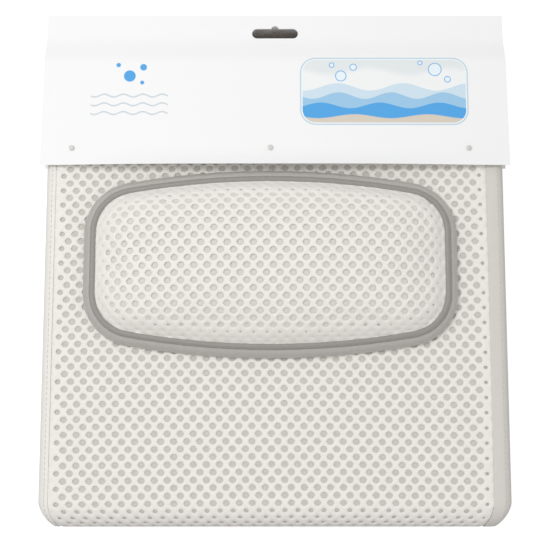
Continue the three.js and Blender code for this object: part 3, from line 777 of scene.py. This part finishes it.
def tape_piece(name, path, cut=None):
    """The tape along a path, with its stitches. A cut holds it back from the head fold."""
    rows = []
    lines = {1: [], -1: []}
    for along, across, in_along, in_across in path:
        lap = LAP_END + (LAP_RIGHT - LAP_END if across > 0 else LAP_END - LAP_LEFT) * across / HALF_WIDTH
        inset, height = np.array(tape_profile(lap)).T
        places = along + in_along * inset
        rows.append(laid(cut(places, height) if cut else places, across + in_across * inset, height))
        for side, line in lines.items():
            line.append(laid(along + in_along * STITCH_INSET, across + in_across * STITCH_INSET,
                             ROLL + side * STITCH_RISE))
    tape = lofted(name, rows, tape_material)
    for line in lines.values():
        sew(tape, line)
    return tape


for name, node, body, path, cut in (
        ("foot_tape", "foot_edge_tape", "foot_panel", horseshoe_path(FOOT_FOLD - TOUCH, FOOT_END), None),
        ("head_tape", "head_edge_tape", "head_panel", horseshoe_path(HEAD_START, HEAD_END), past_fold),
        ("middle_tape_right", "middle_edge_tape_right", "middle_panel",
         edge_path(MIDDLE_START + TOUCH, MIDDLE_END, 1), before_fold),
        ("middle_tape_left", "middle_edge_tape_left", "middle_panel",
         edge_path(MIDDLE_START + TOUCH, MIDDLE_END, -1), before_fold)):
    tape = tape_piece(name, path, cut)
    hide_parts(node)
    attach(tape, body)


# The two folds, where net, pad and tape bend round in one. Each is made in two quarter turns,
# each between a panel and the middle of the fold.
FINE_GAP = 0.06 * MM
FOLD_BULGE = 0.4 * MM
FOLD_STOPS = 22
FOLD_STRIDE = 1.5 * MM


def past_panel(along, height):
    """Keeps the head fold's lower half off the middle panel's bevelled end."""
    return np.maximum(along, MIDDLE_END - bevel(height) + FINE_GAP)


def before_panel(along, height):
    """Keeps the head fold's upper half off the head panel's bevelled end."""
    return np.minimum(along, HEAD_START + bevel(height) - FINE_GAP)


FOLDS = {
    # the line, its inner and outer radius, the way it bulges, and how far its net runs on to a seam
    "foot_fold": (FOOT_LINE, FOOT_BEND, 1, 0),
    "head_fold": (HEAD_LINE, HEAD_BEND, -1, SEAM),
}
FOLD_HALVES = [
    # fold, half, start, end, the two bodies, the cut
    ("foot_fold", "lower_half", FOOT_FOLD, FOOT_MIDDLE, "foot_panel", "foot_fold_lower_bend", None),
    ("foot_fold", "upper_half", FOOT_MIDDLE, MIDDLE_START, "foot_fold_upper_bend", "middle_panel", None),
    ("head_fold", "lower_half", MIDDLE_END, HEAD_MIDDLE, "middle_panel", "head_fold_lower_bend", past_panel),
    ("head_fold", "upper_half", HEAD_MIDDLE, HEAD_START, "head_fold_upper_bend", "head_panel", before_panel),
]
for fold, half, start, end, body_a, body_b, cut in FOLD_HALVES:
    name = f"{fold}_{half}"
    upper = half == "upper_half"
    line, bend, way, run_on = FOLDS[fold]
    low, high = (start, end + run_on) if upper else (start - run_on, end)
    rows = []
    for stop in np.linspace(low, high, FOLD_STOPS):
        share = (stop - start) / (end - start)
        bulge = FOLD_BULGE * math.sin(math.pi / 2 * min(max(1 - share if upper else share, 0), 1))
        rows.append(pad_row(stop, cut, bulge))
    pad = lofted(f"{name}_pad", rows, pile_material)
    # The foot fold's outside is the mat's back, and its net is cut where it meets a panel.
    back_out = fold == "foot_fold"
    net = mat_net(f"{name}_net", not back_out, low, high, back_out and not upper, back_out and upper)
    tapes = [tape_piece(f"{name}_tape_{side_name}", edge_path(low, high, side, FOLD_STRIDE), cut)
             for side, side_name in ((-1, "left"), (1, "right"))]
    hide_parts(name)
    for piece in [pad, net] + tapes:
        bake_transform(piece)


# The suction cups: clear soft PVC, moulded in one with a neck and a round head. The neck goes
# through the back net, and the head is held in the pad.
CUP_SIDES = 56
CUP_COLOUR = "#e6eff1"
CUP_HAZE = 5 * MM
PLASTIC_IOR = 1.53
CUP_PROFILE = [
    # radius and height over the back of the pad, in mm, from the middle of the hollow to the head
    (0, -4.0), (4, -4.05), (8, -4.35), (11, -5.0), (14, -6.1), (16.5, -7.2), (18, -8.0), (19.4, -8.0),
    (19.9, -7.8), (20, -7.4), (19.9, -6.9), (18.5, -5.9), (16.5, -4.9), (14, -3.9), (11.5, -2.4),
    (9.5, -1.1), (8.4, -0.4), (7.6, -0.3), (4.3, -0.3), (4.0, 0), (4.0, 1.4), (4.3, 1.5), (6.7, 1.5),
    (7, 1.8), (6.9, 2.6), (6.3, 3.6), (5.4, 4.4), (3, 4.5), (0, 4.5),
]
cup_material, tree = new_material("clear_soft_pvc")
dull = ranged(tree, noise(tree, CUP_HAZE, 3.0), 0.1, 0.28)
surface(tree, {"Base Color": linear(CUP_COLOUR), "Roughness": dull, "IOR": PLASTIC_IOR,
               "Transmission Weight": 0.8})


def lathed(name, profile, sides, middle, up, material):
    """A turned piece: radius and height pairs about an upright or upside-down axis."""
    points, rings = [], []
    for radius, height in profile:
        if radius == 0:
            rings.append([len(points)] * sides)
            points.append(middle + Vector((0, 0, up * height)))
        else:
            rings.append(range(len(points), len(points) + sides))
            points += [middle + Vector((radius * x, radius * y, up * height)) for x, y in circle(sides)]
    return mesh_piece(name, points, bands(rings), material)


for panel, back, up in (("foot", FOOT_BACK, 1), ("middle", MIDDLE_BACK, -1), ("head", HEAD_BACK, 1)):
    for i in range(1, 7):
        low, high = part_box(f"{panel}_suction_cup_{i}")
        middle = Vector(((low.x + high.x) / 2, (low.y + high.y) / 2, back))
        profile = [(radius * MM, height * MM) for radius, height in CUP_PROFILE]
        cup = lathed(f"{panel}_cup_{i}", profile, CUP_SIDES, middle, up, cup_material)
        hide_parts(f"{panel}_suction_cup_{i}")
        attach(cup, f"{panel}_panel")


# The pillow: a crowned cushion of loose polyester fibre, sewn to the mat's face. Its outline
# has bowed long sides and round corners, and each ring of its edge lies at an inset from it.
PILLOW_SIZE = (322 * MM, 163 * MM)
PILLOW_CORNER = 45 * MM
PILLOW_BOW = 715 * MM
OUTLINE_POINTS = 288
CORNER_STOPS, BOW_STOPS = 60, 120
low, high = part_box("pillow_edge_band")
PILLOW_MIDDLE = Vector(((low.x + high.x) / 2, (low.y + high.y) / 2, HEAD_BACK + PAD))
COVER_INSET = 12 * MM
BASE_THICKNESS = 0.8 * MM
SEAM_HEIGHT = 10.8 * MM
CROWN = 33 * MM
CROWN_FOOT = SEAM_HEIGHT - 2 * MM
FILLING_START = 0.8  # the fibre's height before it swells, as a share of the crown
FILLING_INSET = 12.2 * MM
# The filling's rings from its edge to its top, as shares of its width and of its rise.
FILLING_RINGS = ((1, 0), (0.97, 0.3), (0.91, 0.55), (0.8, 0.78), (0.62, 0.93), (0.4, 0.99), (0.1, 1))


def pillow_outline():
    """Points and outward ways of the pillow's outline, evenly spaced, about its middle, and its length."""
    corner_x = PILLOW_SIZE[0] / 2 - PILLOW_CORNER
    bow_y = PILLOW_SIZE[1] / 2 - PILLOW_BOW
    inner = PILLOW_BOW - PILLOW_CORNER
    corner_y = bow_y + math.sqrt(inner ** 2 - corner_x ** 2)
    tilt = math.asin(corner_x / inner)
    quarter = []
    for turn in np.linspace(0, math.pi / 2 - tilt, CORNER_STOPS):
        quarter.append((corner_x + PILLOW_CORNER * math.cos(turn),
                        corner_y + PILLOW_CORNER * math.sin(turn), turn))
    for turn in np.linspace(math.pi / 2 - tilt, math.pi / 2, BOW_STOPS)[1:]:
        quarter.append((PILLOW_BOW * math.cos(turn), bow_y + PILLOW_BOW * math.sin(turn), turn))
    half = quarter + [(-x, y, math.pi - turn) for x, y, turn in reversed(quarter[:-1])]
    loop = np.array(half + [(-x, -y, turn + math.pi) for x, y, turn in half])
    reach = np.concatenate([[0], np.cumsum(np.hypot(*np.diff(np.vstack([loop, loop[:1]])[:, :2], axis=0).T))])
    even = np.linspace(0, reach[-1], OUTLINE_POINTS, endpoint=False)
    x, y = (np.interp(even, reach, np.append(column, column[0])) for column in loop[:, :2].T)
    turn = np.interp(even, reach, np.unwrap(np.append(loop[:, 2], 2 * math.pi)))
    return np.stack([x, y], -1), np.stack([np.cos(turn), np.sin(turn)], -1), reach[-1]


OUTLINE, OUTWARD, OUTLINE_LENGTH = pillow_outline()


def pillow_ring(inset, height):
    """The outline drawn in by an inset, at a height over the mat's face."""
    flat = OUTLINE - OUTWARD * np.reshape(inset, (-1, 1)) + np.array(PILLOW_MIDDLE[:2])
    return np.column_stack([flat, np.broadcast_to(PILLOW_MIDDLE.z + height, len(flat))])


FIBRE_COLOUR = "#e2ded8"
FIBRE_SHADE = "#d6d2cc"
FIBRE_TUFT = 2 * MM
FIBRE_RELIEF = (0.7, 0.5 * MM)
fibre_material, tree = new_material("polyester_fibre")
fluff = noise(tree, FIBRE_TUFT, 6.0)
dye = mixed(tree, fluff, FIBRE_SHADE, FIBRE_COLOUR)
surface(tree, {"Base Color": dye, "Roughness": 0.95, "Sheen Weight": 0.2}, fluff, FIBRE_RELIEF)

# The fibre is blown up by a short cloth simulation, held at its foot and capped.
SWELL_CAP = 9 * MM
VOXEL = 5 * MM
HELD_BELOW = SEAM_HEIGHT - 3 * MM
SIMULATED_FRAMES = 20
CLOTH_QUALITY = 6
PRESSURE = 4.0
rows = [pillow_ring(FILLING_INSET, 2 * TOUCH + BASE_THICKNESS)]
for width_share, rise_share in FILLING_RINGS:
    ring = pillow_ring(FILLING_INSET, CROWN_FOOT + CROWN * FILLING_START * rise_share)
    middle = np.array(PILLOW_MIDDLE)
    ring[:, :2] = middle[:2] + (ring[:, :2] - middle[:2]) * width_share
    rows.append(ring)
filling = lofted("pillow_filling", rows, fibre_material)
remesh = filling.modifiers.new("remesh", "REMESH")
remesh.mode = "VOXEL"
remesh.voxel_size = VOXEL
remesh.use_smooth_shade = True
fixed(filling)
before = points_of(filling)
held = filling.vertex_groups.new(name="held")
held.add([i for i, p in enumerate(before) if p[2] < PILLOW_MIDDLE.z + HELD_BELOW], 1.0, "REPLACE")
cloth = filling.modifiers.new("swell", "CLOTH")
cloth.settings.quality = CLOTH_QUALITY
cloth.settings.use_pressure = True
cloth.settings.uniform_pressure_force = PRESSURE
cloth.settings.effector_weights.gravity = 0
cloth.settings.vertex_group_mass = "held"
cloth.point_cache.frame_start = 1
cloth.point_cache.frame_end = SIMULATED_FRAMES
for step in range(1, SIMULATED_FRAMES + 1):
    bpy.context.scene.frame_set(step)
fixed(filling)
moved = points_of(filling) - before
far = np.linalg.norm(moved, axis=1, keepdims=True)
put(filling, before + moved * np.minimum(1, SWELL_CAP / np.maximum(far, 1e-9)))
bpy.context.scene.frame_set(1)
rounder = filling.modifiers.new("rounder", "SUBSURF")
rounder.levels = rounder.render_levels = 1
fixed(filling)
filling.data.shade_smooth()
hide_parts("pillow_fibre_filling")
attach(filling, "head_panel")

# The pillow's cover is the same net as the mat's face. It follows the fibre's form, and its
# holes draw shut toward the seam.
GRID = 2 * MM
GRID_SOFTENING = 8  # rounds
GRID_END = 1.001  # cells, which keep a place short of the grid's last point
ABOVE = 0.2  # the fibre's form is felt for from this height down
COVER_GAP = 0.4 * MM
COVER_COLUMNS = 33
COVER_ROWS = 15
COVER_ROUNDS = 12
SHUT_FROM, SHUT_AT = 14 * MM, 5 * MM  # from the seam
SHUT_TO = 0.04  # of a hole's size
COVER_TUCK = 1.5 * MM  # under the piping

reach_x, reach_y = PILLOW_SIZE[0] / 2, PILLOW_SIZE[1] / 2
grid_x = np.arange(-reach_x, reach_x + GRID, GRID)
grid_y = np.arange(-reach_y, reach_y + GRID, GRID)
seek = bvhtree.BVHTree.FromObject(filling, bpy.context.evaluated_depsgraph_get())
crown = np.full((len(grid_y), len(grid_x)), PILLOW_MIDDLE.z + CROWN_FOOT)
for i, y in enumerate(grid_y):
    for k, x in enumerate(grid_x):
        hit = seek.ray_cast(Vector((PILLOW_MIDDLE.x + x, PILLOW_MIDDLE.y + y, ABOVE)), Vector((0, 0, -1)))[0]
        if hit is not None:
            crown[i, k] = max(hit.z, crown[i, k])
for _ in range(GRID_SOFTENING):
    wide = np.pad(crown, 1, mode="edge")
    crown = (wide[:-2, 1:-1] + wide[2:, 1:-1] + wide[1:-1, :-2] + wide[1:-1, 2:] + 4 * wide[1:-1, 1:-1]) / 8
crown += COVER_GAP + NET_THICKNESS
slope_y, slope_x = np.gradient(crown, GRID)
middle_row, middle_column = len(grid_y) // 2, len(grid_x) // 2
run_x = np.cumsum(np.hypot(1, slope_x) * GRID, axis=1)
run_x -= run_x[:, middle_column:middle_column + 1] - grid_x[middle_column]
run_y = np.cumsum(np.hypot(1, slope_y) * GRID, axis=0)
run_y -= run_y[middle_row:middle_row + 1] - grid_y[middle_row]


def read(field, x, y):
    """A field's values at places between its grid points."""
    column = np.clip((x - grid_x[0]) / GRID, 0, len(grid_x) - GRID_END)
    row = np.clip((y - grid_y[0]) / GRID, 0, len(grid_y) - GRID_END)
    k, i = column.astype(int), row.astype(int)
    u, v = column - k, row - i
    return ((field[i, k] * (1 - u) + field[i, k + 1] * u) * (1 - v)
            + (field[i + 1, k] * (1 - u) + field[i + 1, k + 1] * u) * v)


def inside_by(x, y):
    """How far places lie inside the pillow's outline, and the way out from each."""
    best = np.full(len(x), np.inf)
    nearest = np.zeros(len(x), int)
    for i, (px, py) in enumerate(OUTLINE):
        away = np.hypot(x - px, y - py)
        closer = away < best
        best[closer] = away[closer]
        nearest[closer] = i
    out = OUTWARD[nearest]
    depth = -((x - OUTLINE[nearest, 0]) * out[:, 0] + (y - OUTLINE[nearest, 1]) * out[:, 1])
    return depth, out


def on_pillow(flat_x, flat_y):
    """Where places on the flat net come to lie over the pillow, by their run along its crown."""
    x, y = flat_x.copy(), flat_y.copy()
    for _ in range(COVER_ROUNDS):
        x += (flat_x - read(run_x, x, y)) / read(np.hypot(1, slope_x), x, y)
        y += (flat_y - read(run_y, x, y)) / read(np.hypot(1, slope_y), x, y)
        x, y = np.clip(x, -reach_x, reach_x), np.clip(y, -reach_y, reach_y)
    return x, y


cover, points, middles = flat_net("pillow_cover", COVER_COLUMNS, -COVER_ROWS, COVER_ROWS, face_cell)
from_seam = inside_by(*on_pillow(*middles.T))[0] - COVER_INSET
shut = eased((SHUT_FROM - from_seam) / (SHUT_FROM - SHUT_AT))
flat_x, flat_y, lift = drawn_shut(points, middles, 1 - (1 - SHUT_TO) * shut)
x, y = on_pillow(flat_x, flat_y)
depth, out = inside_by(x, y)
over = np.maximum(COVER_INSET - COVER_TUCK - depth, 0)
x, y = x - over * out[:, 0], y - over * out[:, 1]
lean_x, lean_y = read(slope_x, x, y), read(slope_y, x, y)
off = lift / np.sqrt(1 + lean_x ** 2 + lean_y ** 2)
put(cover, np.column_stack([
    PILLOW_MIDDLE.x + x - off * lean_x, PILLOW_MIDDLE.y + y - off * lean_y, read(crown, x, y) + off]))
trimmed(cover, depth > 0)
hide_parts("pillow_mesh_cover")
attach(cover, "head_panel")

# The edge of the pillow: a strip of grey satin that stands round it, and a darker satin piping
# over a cord in the seam. The piping's darker grey is partly painted shade for the groove at the seam.
# Both are cut on the bias and pucker a little.
BAND = (6 * MM, 10 * MM, 0.8 * MM)  # width, height and thickness
BAND_STEPS = 8
PIPING_INSET = 9.4 * MM
PIPING_RADIUS = 2.8 * MM
PIPING_SIDES = 16
BAND_COLOUR = "#bab7b2"
# Partly painted shade: the piping's darker grey stands in for the shade in the groove at the seam.
PIPING_COLOUR = "#9c9893"
SATIN_SHADE = 0.82  # of its colour, in patches
SATIN_PATCH = 3 * MM
SATIN_RELIEF = (0.3, 0.2 * MM)
PUCKER = 0.35 * MM
PUCKER_PITCH = 7 * MM


def satin(name, colour, roughness):
    """Satin of a colour, shaded in patches."""
    material, tree = new_material(name)
    sheen = noise(tree, SATIN_PATCH, 4.0)
    dye = mixed(tree, sheen, colour, [SATIN_SHADE * v for v in linear(colour)[:3]] + [1])
    surface(tree, {"Base Color": dye, "Roughness": roughness, "Sheen Weight": 0.3, "Sheen Roughness": 0.4},
            sheen, SATIN_RELIEF)
    return material


def round_pillow(name, section, material, pucker):
    """A closed section of inset and height pairs, carried round the pillow with uneven puckers."""
    count = round(OUTLINE_LENGTH / PUCKER_PITCH)
    phase = 2 * math.pi * count * np.arange(OUTLINE_POINTS) / OUTLINE_POINTS
    wave = pucker * (0.6 * np.sin(phase + 1.7 * np.sin(phase * 5 / count)) + 0.4 * np.sin(phase * 2 + 1))
    rings = [pillow_ring(inset - wave * min(1, height / BAND[1] * 2), height) for inset, height in section]
    return lofted(name, np.swapaxes(np.array(rings), 0, 1), material, ring=True)


def strip(depth):
    """One side of the band, from its foot to the seam allowance under the piping."""
    turns = [math.pi / 2 * i / BAND_STEPS for i in range(BAND_STEPS + 1)]
    rise = [(BAND[0] - (BAND[0] - depth) * math.cos(t), TOUCH + (BAND[1] - depth) * math.sin(t))
            for t in turns]
    return rise + [(PIPING_INSET - PIPING_RADIUS / 3, TOUCH + BAND[1] - depth)]


grey_satin = satin("grey_satin", BAND_COLOUR, 0.45)
band = round_pillow("pillow_band", strip(0) + strip(BAND[2])[::-1], grey_satin, PUCKER)
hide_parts("pillow_edge_band")
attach(band, "head_panel")

piping_satin_with_shade = satin("dark_grey_satin_and_painted_shade", PIPING_COLOUR, 0.5)
section = [(PIPING_INSET + PIPING_RADIUS * x, SEAM_HEIGHT + PIPING_RADIUS * y)
           for x, y in circle(PIPING_SIDES)]
piping = round_pillow("pillow_piping_cord", section, piping_satin_with_shade, PUCKER / 2)
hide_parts("pillow_piping")
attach(piping, "head_panel")

# The flat cloth that closes the pillow below: plain woven polyester, sewn in with the band.
BASE_INSET = 1.6 * MM
BASE_COLOUR = "#e9e6e1"
BASE_YARN = 0.8 * MM
BASE_RELIEF = (0.4, 0.2 * MM)
base_material, tree = new_material("plain_woven_polyester")
crossing = maths(tree, "MULTIPLY", *[yarns(tree, BASE_YARN, way=way) for way in "XY"])
surface(tree, {"Base Color": linear(BASE_COLOUR), "Roughness": 0.85}, crossing, BASE_RELIEF)
rows = [pillow_ring(BASE_INSET, TOUCH + rise) for rise in (0, BASE_THICKNESS)]
base = lofted("pillow_base", rows, base_material)
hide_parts("pillow_base_cloth")
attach(base, "head_panel")


# The hang card: one sheet of white coated board, folded over the mat's head end, with a slot
# for a display hook. Its two flaps lie together at the top and part over the end of the pad.
card_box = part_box("hang_card")
CARD_HALF = card_box[1].x
CARD_TOP = card_box[1].y
CARD_MIDDLE_Z = HEAD_BACK + ROLL
CARD_GAUGE = 0.5 * MM
CARD_CREASE = math.radians(30)
CARD_COLUMNS = 72
FLAP = CARD_TOP - card_box[0].y
FLAP_JOIN, FLAP_APART = 19 * MM, 48 * MM  # from the top fold
FLAP_SAG = (2 * MM, 1.2 * MM)  # the front one hangs lower than the rear one, most in the middle
FLARE = (1.5 * MM, 2.8 * MM)  # wider than the mat, at the fold and at the free edge
FOLD_EDGE, FOLD_SHOULDER = 0.2 * MM, 1.5 * MM  # where the board rounds over the top fold
TOGETHER = TOUCH / 2
SEATED = ROLL + TOUCH
FLAP_LIFT, FLAP_BOW = 3 * MM, 4 * MM
FLAP_CURL, CURL_WIDTH = 6.5 * MM, 12 * MM  # the free edge curls up past the pins
SLOT = (41 * MM, 9 * MM)
SLOT_INSET = 17 * MM
SLOT_END_STOPS = 13
HUMP = (3.5 * MM, 2.6 * MM)  # radius and rise
HUMP_STOPS = 11
CUTTER_REACH = 5 * MM
JOIN_STOPS, OPENING_STOPS, FREE_STOPS = 6, 12, 16  # down a flap: together, parting, over the pad
PRINTED_TILT = 0.2  # the least upward share of a printed face's normal

downs = np.concatenate([
    [FOLD_EDGE], np.linspace(FOLD_SHOULDER, FLAP_JOIN, JOIN_STOPS)[:-1],
    np.linspace(FLAP_JOIN, FLAP_APART, OPENING_STOPS)[:-1], np.linspace(FLAP_APART, FLAP, FREE_STOPS)])
seat = TOGETHER + (SEATED - TOGETHER) * eased((downs - FLAP_JOIN) / (FLAP_APART - FLAP_JOIN))
past_pad = np.maximum(0, (downs - FLAP_APART) / (FLAP - FLAP_APART))
at_edge = np.maximum(0, 1 - (FLAP - downs) / CURL_WIDTH)
rear_y = CARD_TOP - downs
rows = []
for x in np.linspace(-CARD_HALF, CARD_HALF, CARD_COLUMNS + 1):
    inward = 1 - (x / CARD_HALF) ** 2
    # The front flap stands off the pad, bows up in the middle of its free edge, and curls there.
    lift = (FLAP_LIFT + FLAP_BOW * inward) * past_pad ** 2 + FLAP_CURL * eased(inward) * at_edge ** 1.5
    front_y = rear_y - (FLAP_SAG[0] + FLAP_SAG[1] * inward) * (downs / FLAP) ** 3
    front = list(zip(front_y, CARD_MIDDLE_Z + seat + lift + CARD_GAUGE))
    front_in = list(zip(front_y, CARD_MIDDLE_Z + seat + lift))
    rear = list(zip(rear_y, CARD_MIDDLE_Z - seat - CARD_GAUGE))
    rear_in = list(zip(rear_y, CARD_MIDDLE_Z - seat))
    crest = [(CARD_TOP, CARD_MIDDLE_Z)]
    hollow = [(CARD_TOP - CARD_GAUGE - FOLD_EDGE, CARD_MIDDLE_Z)]
    loop = front[::-1] + crest + rear + rear_in[::-1][:-1] + hollow + front_in[1:]
    flare = [FLARE[0] + (FLARE[1] - FLARE[0]) * (CARD_TOP - y) / FLAP for y, _ in loop]
    rows.append([(x * (1 + wider / CARD_HALF), y, z) for wider, (y, z) in zip(flare, loop)])

# The board, plain white, with a print on the front flap: four small bubbles over three ripple
# lines, and a framed panel of waves and bubbles in pale blue, blue and sand.
BOARD_WHITE = "#f6f6f6"
BOARD_GRAIN = 6 * MM
BOARD_RELIEF = (0.08, 0.2 * MM)
PRINT_BLUE = "#4ea6e6"
PRINT_SKY = "#9cc9e8"
PRINT_PALE = "#cfe3ef"
PRINT_SAND = "#d9cfc0"
PRINT_MIST = "#e4e9ea"
PRINT_CLOUD = "#f3f5f5"
PRINT_GLINT = "#eaf5fb"
PRINT_FRAME = "#bcd8e8"
PRINT_MAT = "#f7f8f8"  # between the frame and the picture
PRINT_RIPPLE = "#cdd6dc"
PRINT_SOFT = 0.25  # mm
PRINT_LINE = 0.7 * MM
PANEL = (96 * MM, 152 * MM, 74 * MM, 31 * MM)  # middle x and y, half width and half height
PANEL_CORNER = 14 * MM
PANEL_FRAME, PANEL_MARGIN = 1.2 * MM, 2.2 * MM
PANEL_WAVES = [
    # colour below the line, then its level, swing and length in mm, its phase, and its softness in mm
    (PRINT_CLOUD, 170, 3, 70, 0.4, 6),
    (PRINT_PALE, 156, 3.4, 58, 1.9, PRINT_SOFT),
    (PRINT_SKY, 148, 3.0, 46, 0.2, PRINT_SOFT),
    (PRINT_BLUE, 139, 2.6, 52, 3.0, PRINT_SOFT),
    (PRINT_SAND, 129, 1.8, 64, 1.0, PRINT_SOFT),
]
# Middles and radii in mm.
PANEL_BUBBLES = ((58, 166, 5.0), (69, 174, 3.2), (50, 176, 2.4),
                 (141, 172, 6.0), (152, 163, 3.0), (128, 178, 2.2))
BUBBLES = ((-128, 166, 5.2), (-116, 174, 3.0), (-138, 176, 2.0), (-117, 160, 1.8))
RIPPLE_LEVELS = (148, 140, 132)
RIPPLE_SPAN = (-128, 34)  # their middle and half their width
RIPPLE = (1.3, 17, 0.5)  # swing, length and phase


def coated_board(tree, colour):
    """Ends a material as coated board of a colour."""
    grain = noise(tree, BOARD_GRAIN, 5.0)
    surface(tree, {"Base Color": colour, "Roughness": ranged(tree, grain, 0.55, 0.7)}, grain, BOARD_RELIEF)


board_material, tree = new_material("coated_board")
coated_board(tree, linear(BOARD_WHITE))
print_material, tree = new_material("printed_board")
spot = add(tree, "ShaderNodeSeparateXYZ", {0: add(tree, "ShaderNodeTexCoord").outputs["Object"]}).outputs


def inked(under, ink, distance, soft=PRINT_SOFT):
    """The colours so far, with an ink laid over them where a distance is below zero."""
    mask = maths(tree, "MULTIPLY_ADD", distance, -1 / (soft * MM), 0.5, clamp=True)
    return mixed(tree, mask, under, ink)


def length_of(x, y):
    """The length of a way across and up."""
    return maths(tree, "SQRT", maths(tree, "MULTIPLY_ADD", x, x, maths(tree, "MULTIPLY", y, y)))


def beyond_disc(x, y, radius):
    """Distance outside a disc."""
    away = [maths(tree, "SUBTRACT", spot[i], middle * MM) for i, middle in enumerate((x, y))]
    return maths(tree, "SUBTRACT", length_of(*away), radius * MM)


def beyond_panel(shrink):
    """Distance outside the round-cornered panel, drawn in by an amount."""
    away = [maths(tree, "ABSOLUTE", maths(tree, "SUBTRACT", spot[i], PANEL[i])) for i in (0, 1)]
    reach = [maths(tree, "MAXIMUM", maths(tree, "SUBTRACT", away[i], PANEL[i + 2] - PANEL_CORNER), 0.0)
             for i in (0, 1)]
    return maths(tree, "SUBTRACT", length_of(*reach), PANEL_CORNER - shrink)


def above_wave(level, swing, length, phase):
    """Distance above a wave line."""
    turn = maths(tree, "MULTIPLY_ADD", spot[0], 2 * math.pi / (length * MM), phase)
    line = maths(tree, "MULTIPLY_ADD", maths(tree, "SINE", turn), swing * MM, level * MM)
    return maths(tree, "SUBTRACT", spot[1], line)


picture = PRINT_MIST
for colour, level, swing, length, phase, soft in PANEL_WAVES:
    picture = inked(picture, colour, above_wave(level, swing, length, phase), soft)
for bubble in PANEL_BUBBLES:
    outside = beyond_disc(*bubble)
    picture = inked(picture, PRINT_BLUE, outside)
    picture = inked(picture, PRINT_GLINT, maths(tree, "ADD", outside, PRINT_LINE))
face = inked(BOARD_WHITE, PRINT_FRAME, beyond_panel(0))
face = inked(face, PRINT_MAT, beyond_panel(PANEL_FRAME))
face = inked(face, picture, beyond_panel(PANEL_MARGIN))
for bubble in BUBBLES:
    face = inked(face, PRINT_BLUE, beyond_disc(*bubble))
aside = maths(tree, "ABSOLUTE", maths(tree, "SUBTRACT", spot[0], RIPPLE_SPAN[0] * MM))
past_end = maths(tree, "SUBTRACT", aside, RIPPLE_SPAN[1] * MM)
for level in RIPPLE_LEVELS:
    stroke = maths(tree, "SUBTRACT", maths(tree, "ABSOLUTE", above_wave(level, *RIPPLE)), PRINT_LINE)
    face = inked(face, PRINT_RIPPLE, maths(tree, "MAXIMUM", stroke, past_end))
coated_board(tree, face)

card = lofted("card", rows, board_material)
card.data.materials.append(print_material)
for polygon in card.data.polygons:
    if polygon.normal.z > PRINTED_TILT and polygon.center.z > CARD_MIDDLE_Z + TOGETHER + CARD_GAUGE / 2:
        polygon.material_index = 1

# The slot is cut through both flaps: long and level, with a round hump over its middle.
slot_y = CARD_TOP - SLOT_INSET
half_long, half_high = SLOT[0] / 2 - SLOT[1] / 2, SLOT[1] / 2
hump_turn = math.acos((HUMP[0] - HUMP[1]) / HUMP[0])
line = [(half_long + half_high * math.cos(t), slot_y + half_high * math.sin(t))
        for t in np.linspace(-math.pi / 2, math.pi / 2, SLOT_END_STOPS)]
line += [(HUMP[0] * math.sin(t), slot_y + half_high + HUMP[1] - HUMP[0] + HUMP[0] * math.cos(t))
         for t in np.linspace(hump_turn, -hump_turn, HUMP_STOPS)]
line += [(-half_long + half_high * math.cos(t), slot_y + half_high * math.sin(t))
         for t in np.linspace(math.pi / 2, 3 * math.pi / 2, SLOT_END_STOPS)]
cutter = lofted("slot_cutter", [[(x, y, CARD_MIDDLE_Z + rise) for x, y in line]
                                for rise in (-CUTTER_REACH, CUTTER_REACH)], board_material)
cutting = card.modifiers.new("slot", "BOOLEAN")
cutting.object = cutter
cutting.solver = "EXACT"
fixed(card)
bpy.data.objects.remove(cutter)
card.data.shade_smooth()
card.data.set_sharp_from_angle(angle=CARD_CREASE)
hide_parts("hang_card")
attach(card, "head_panel")


# Three nylon tag pins go through the card and the mat. Each is moulded in one: a thin shaft,
# a flat round head in front and a cross bar behind.
PIN_SIDES = 28
PIN_SHAFT = 0.7 * MM
PIN_HEAD = 2.2 * MM
PIN_HEAD_DEPTH = 0.8 * MM
PIN_HEAD_FORM = ((0.93, 0), (1, 0.15), (1, 0.4), (0.85, 0.62), (0.5, 0.76))  # share of its radius, mm up
PIN_BAR = 0.9 * MM  # its radius
PIN_BAR_SIDES = 14
PIN_BAR_FORM = ((0, 0.3), (0.4, 0.85), (1, 1))  # mm in from its end, share of its radius
PIN_COLOUR = "#e4e4e0"
PIN_HAZE = 1 * MM
pin_material, tree = new_material("clear_nylon")
dull = ranged(tree, noise(tree, PIN_HAZE), 0.25, 0.45)
surface(tree, {"Base Color": linear(PIN_COLOUR), "Roughness": dull, "IOR": PLASTIC_IOR,
               "Transmission Weight": 0.25})
for i in (1, 2, 3):
    low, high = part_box(f"tag_pin_{i}")
    middle = Vector(((low.x + high.x) / 2, (low.y + high.y) / 2, 0))
    bar_z = low.z + PIN_BAR
    seat = high.z - PIN_HEAD_DEPTH
    head = [(PIN_HEAD * share, seat + rise * MM) for share, rise in PIN_HEAD_FORM]
    profile = [(0, bar_z), (PIN_SHAFT, bar_z), (PIN_SHAFT, seat)] + head + [(0, high.z)]
    pin = lathed(f"pin_{i}", profile, PIN_SIDES, middle, 1, pin_material)
    places = [(low.x + inset * MM, share) for inset, share in PIN_BAR_FORM]
    places += [(high.x - inset * MM, share) for inset, share in reversed(PIN_BAR_FORM)]
    bar_rows = [[(x, middle.y + share * PIN_BAR * a, bar_z + share * PIN_BAR * b)
                 for a, b in circle(PIN_BAR_SIDES)] for x, share in places]
    join(pin, lofted(f"pin_bar_{i}", bar_rows, pin_material))
    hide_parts(f"tag_pin_{i}")
    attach(pin, "head_panel")
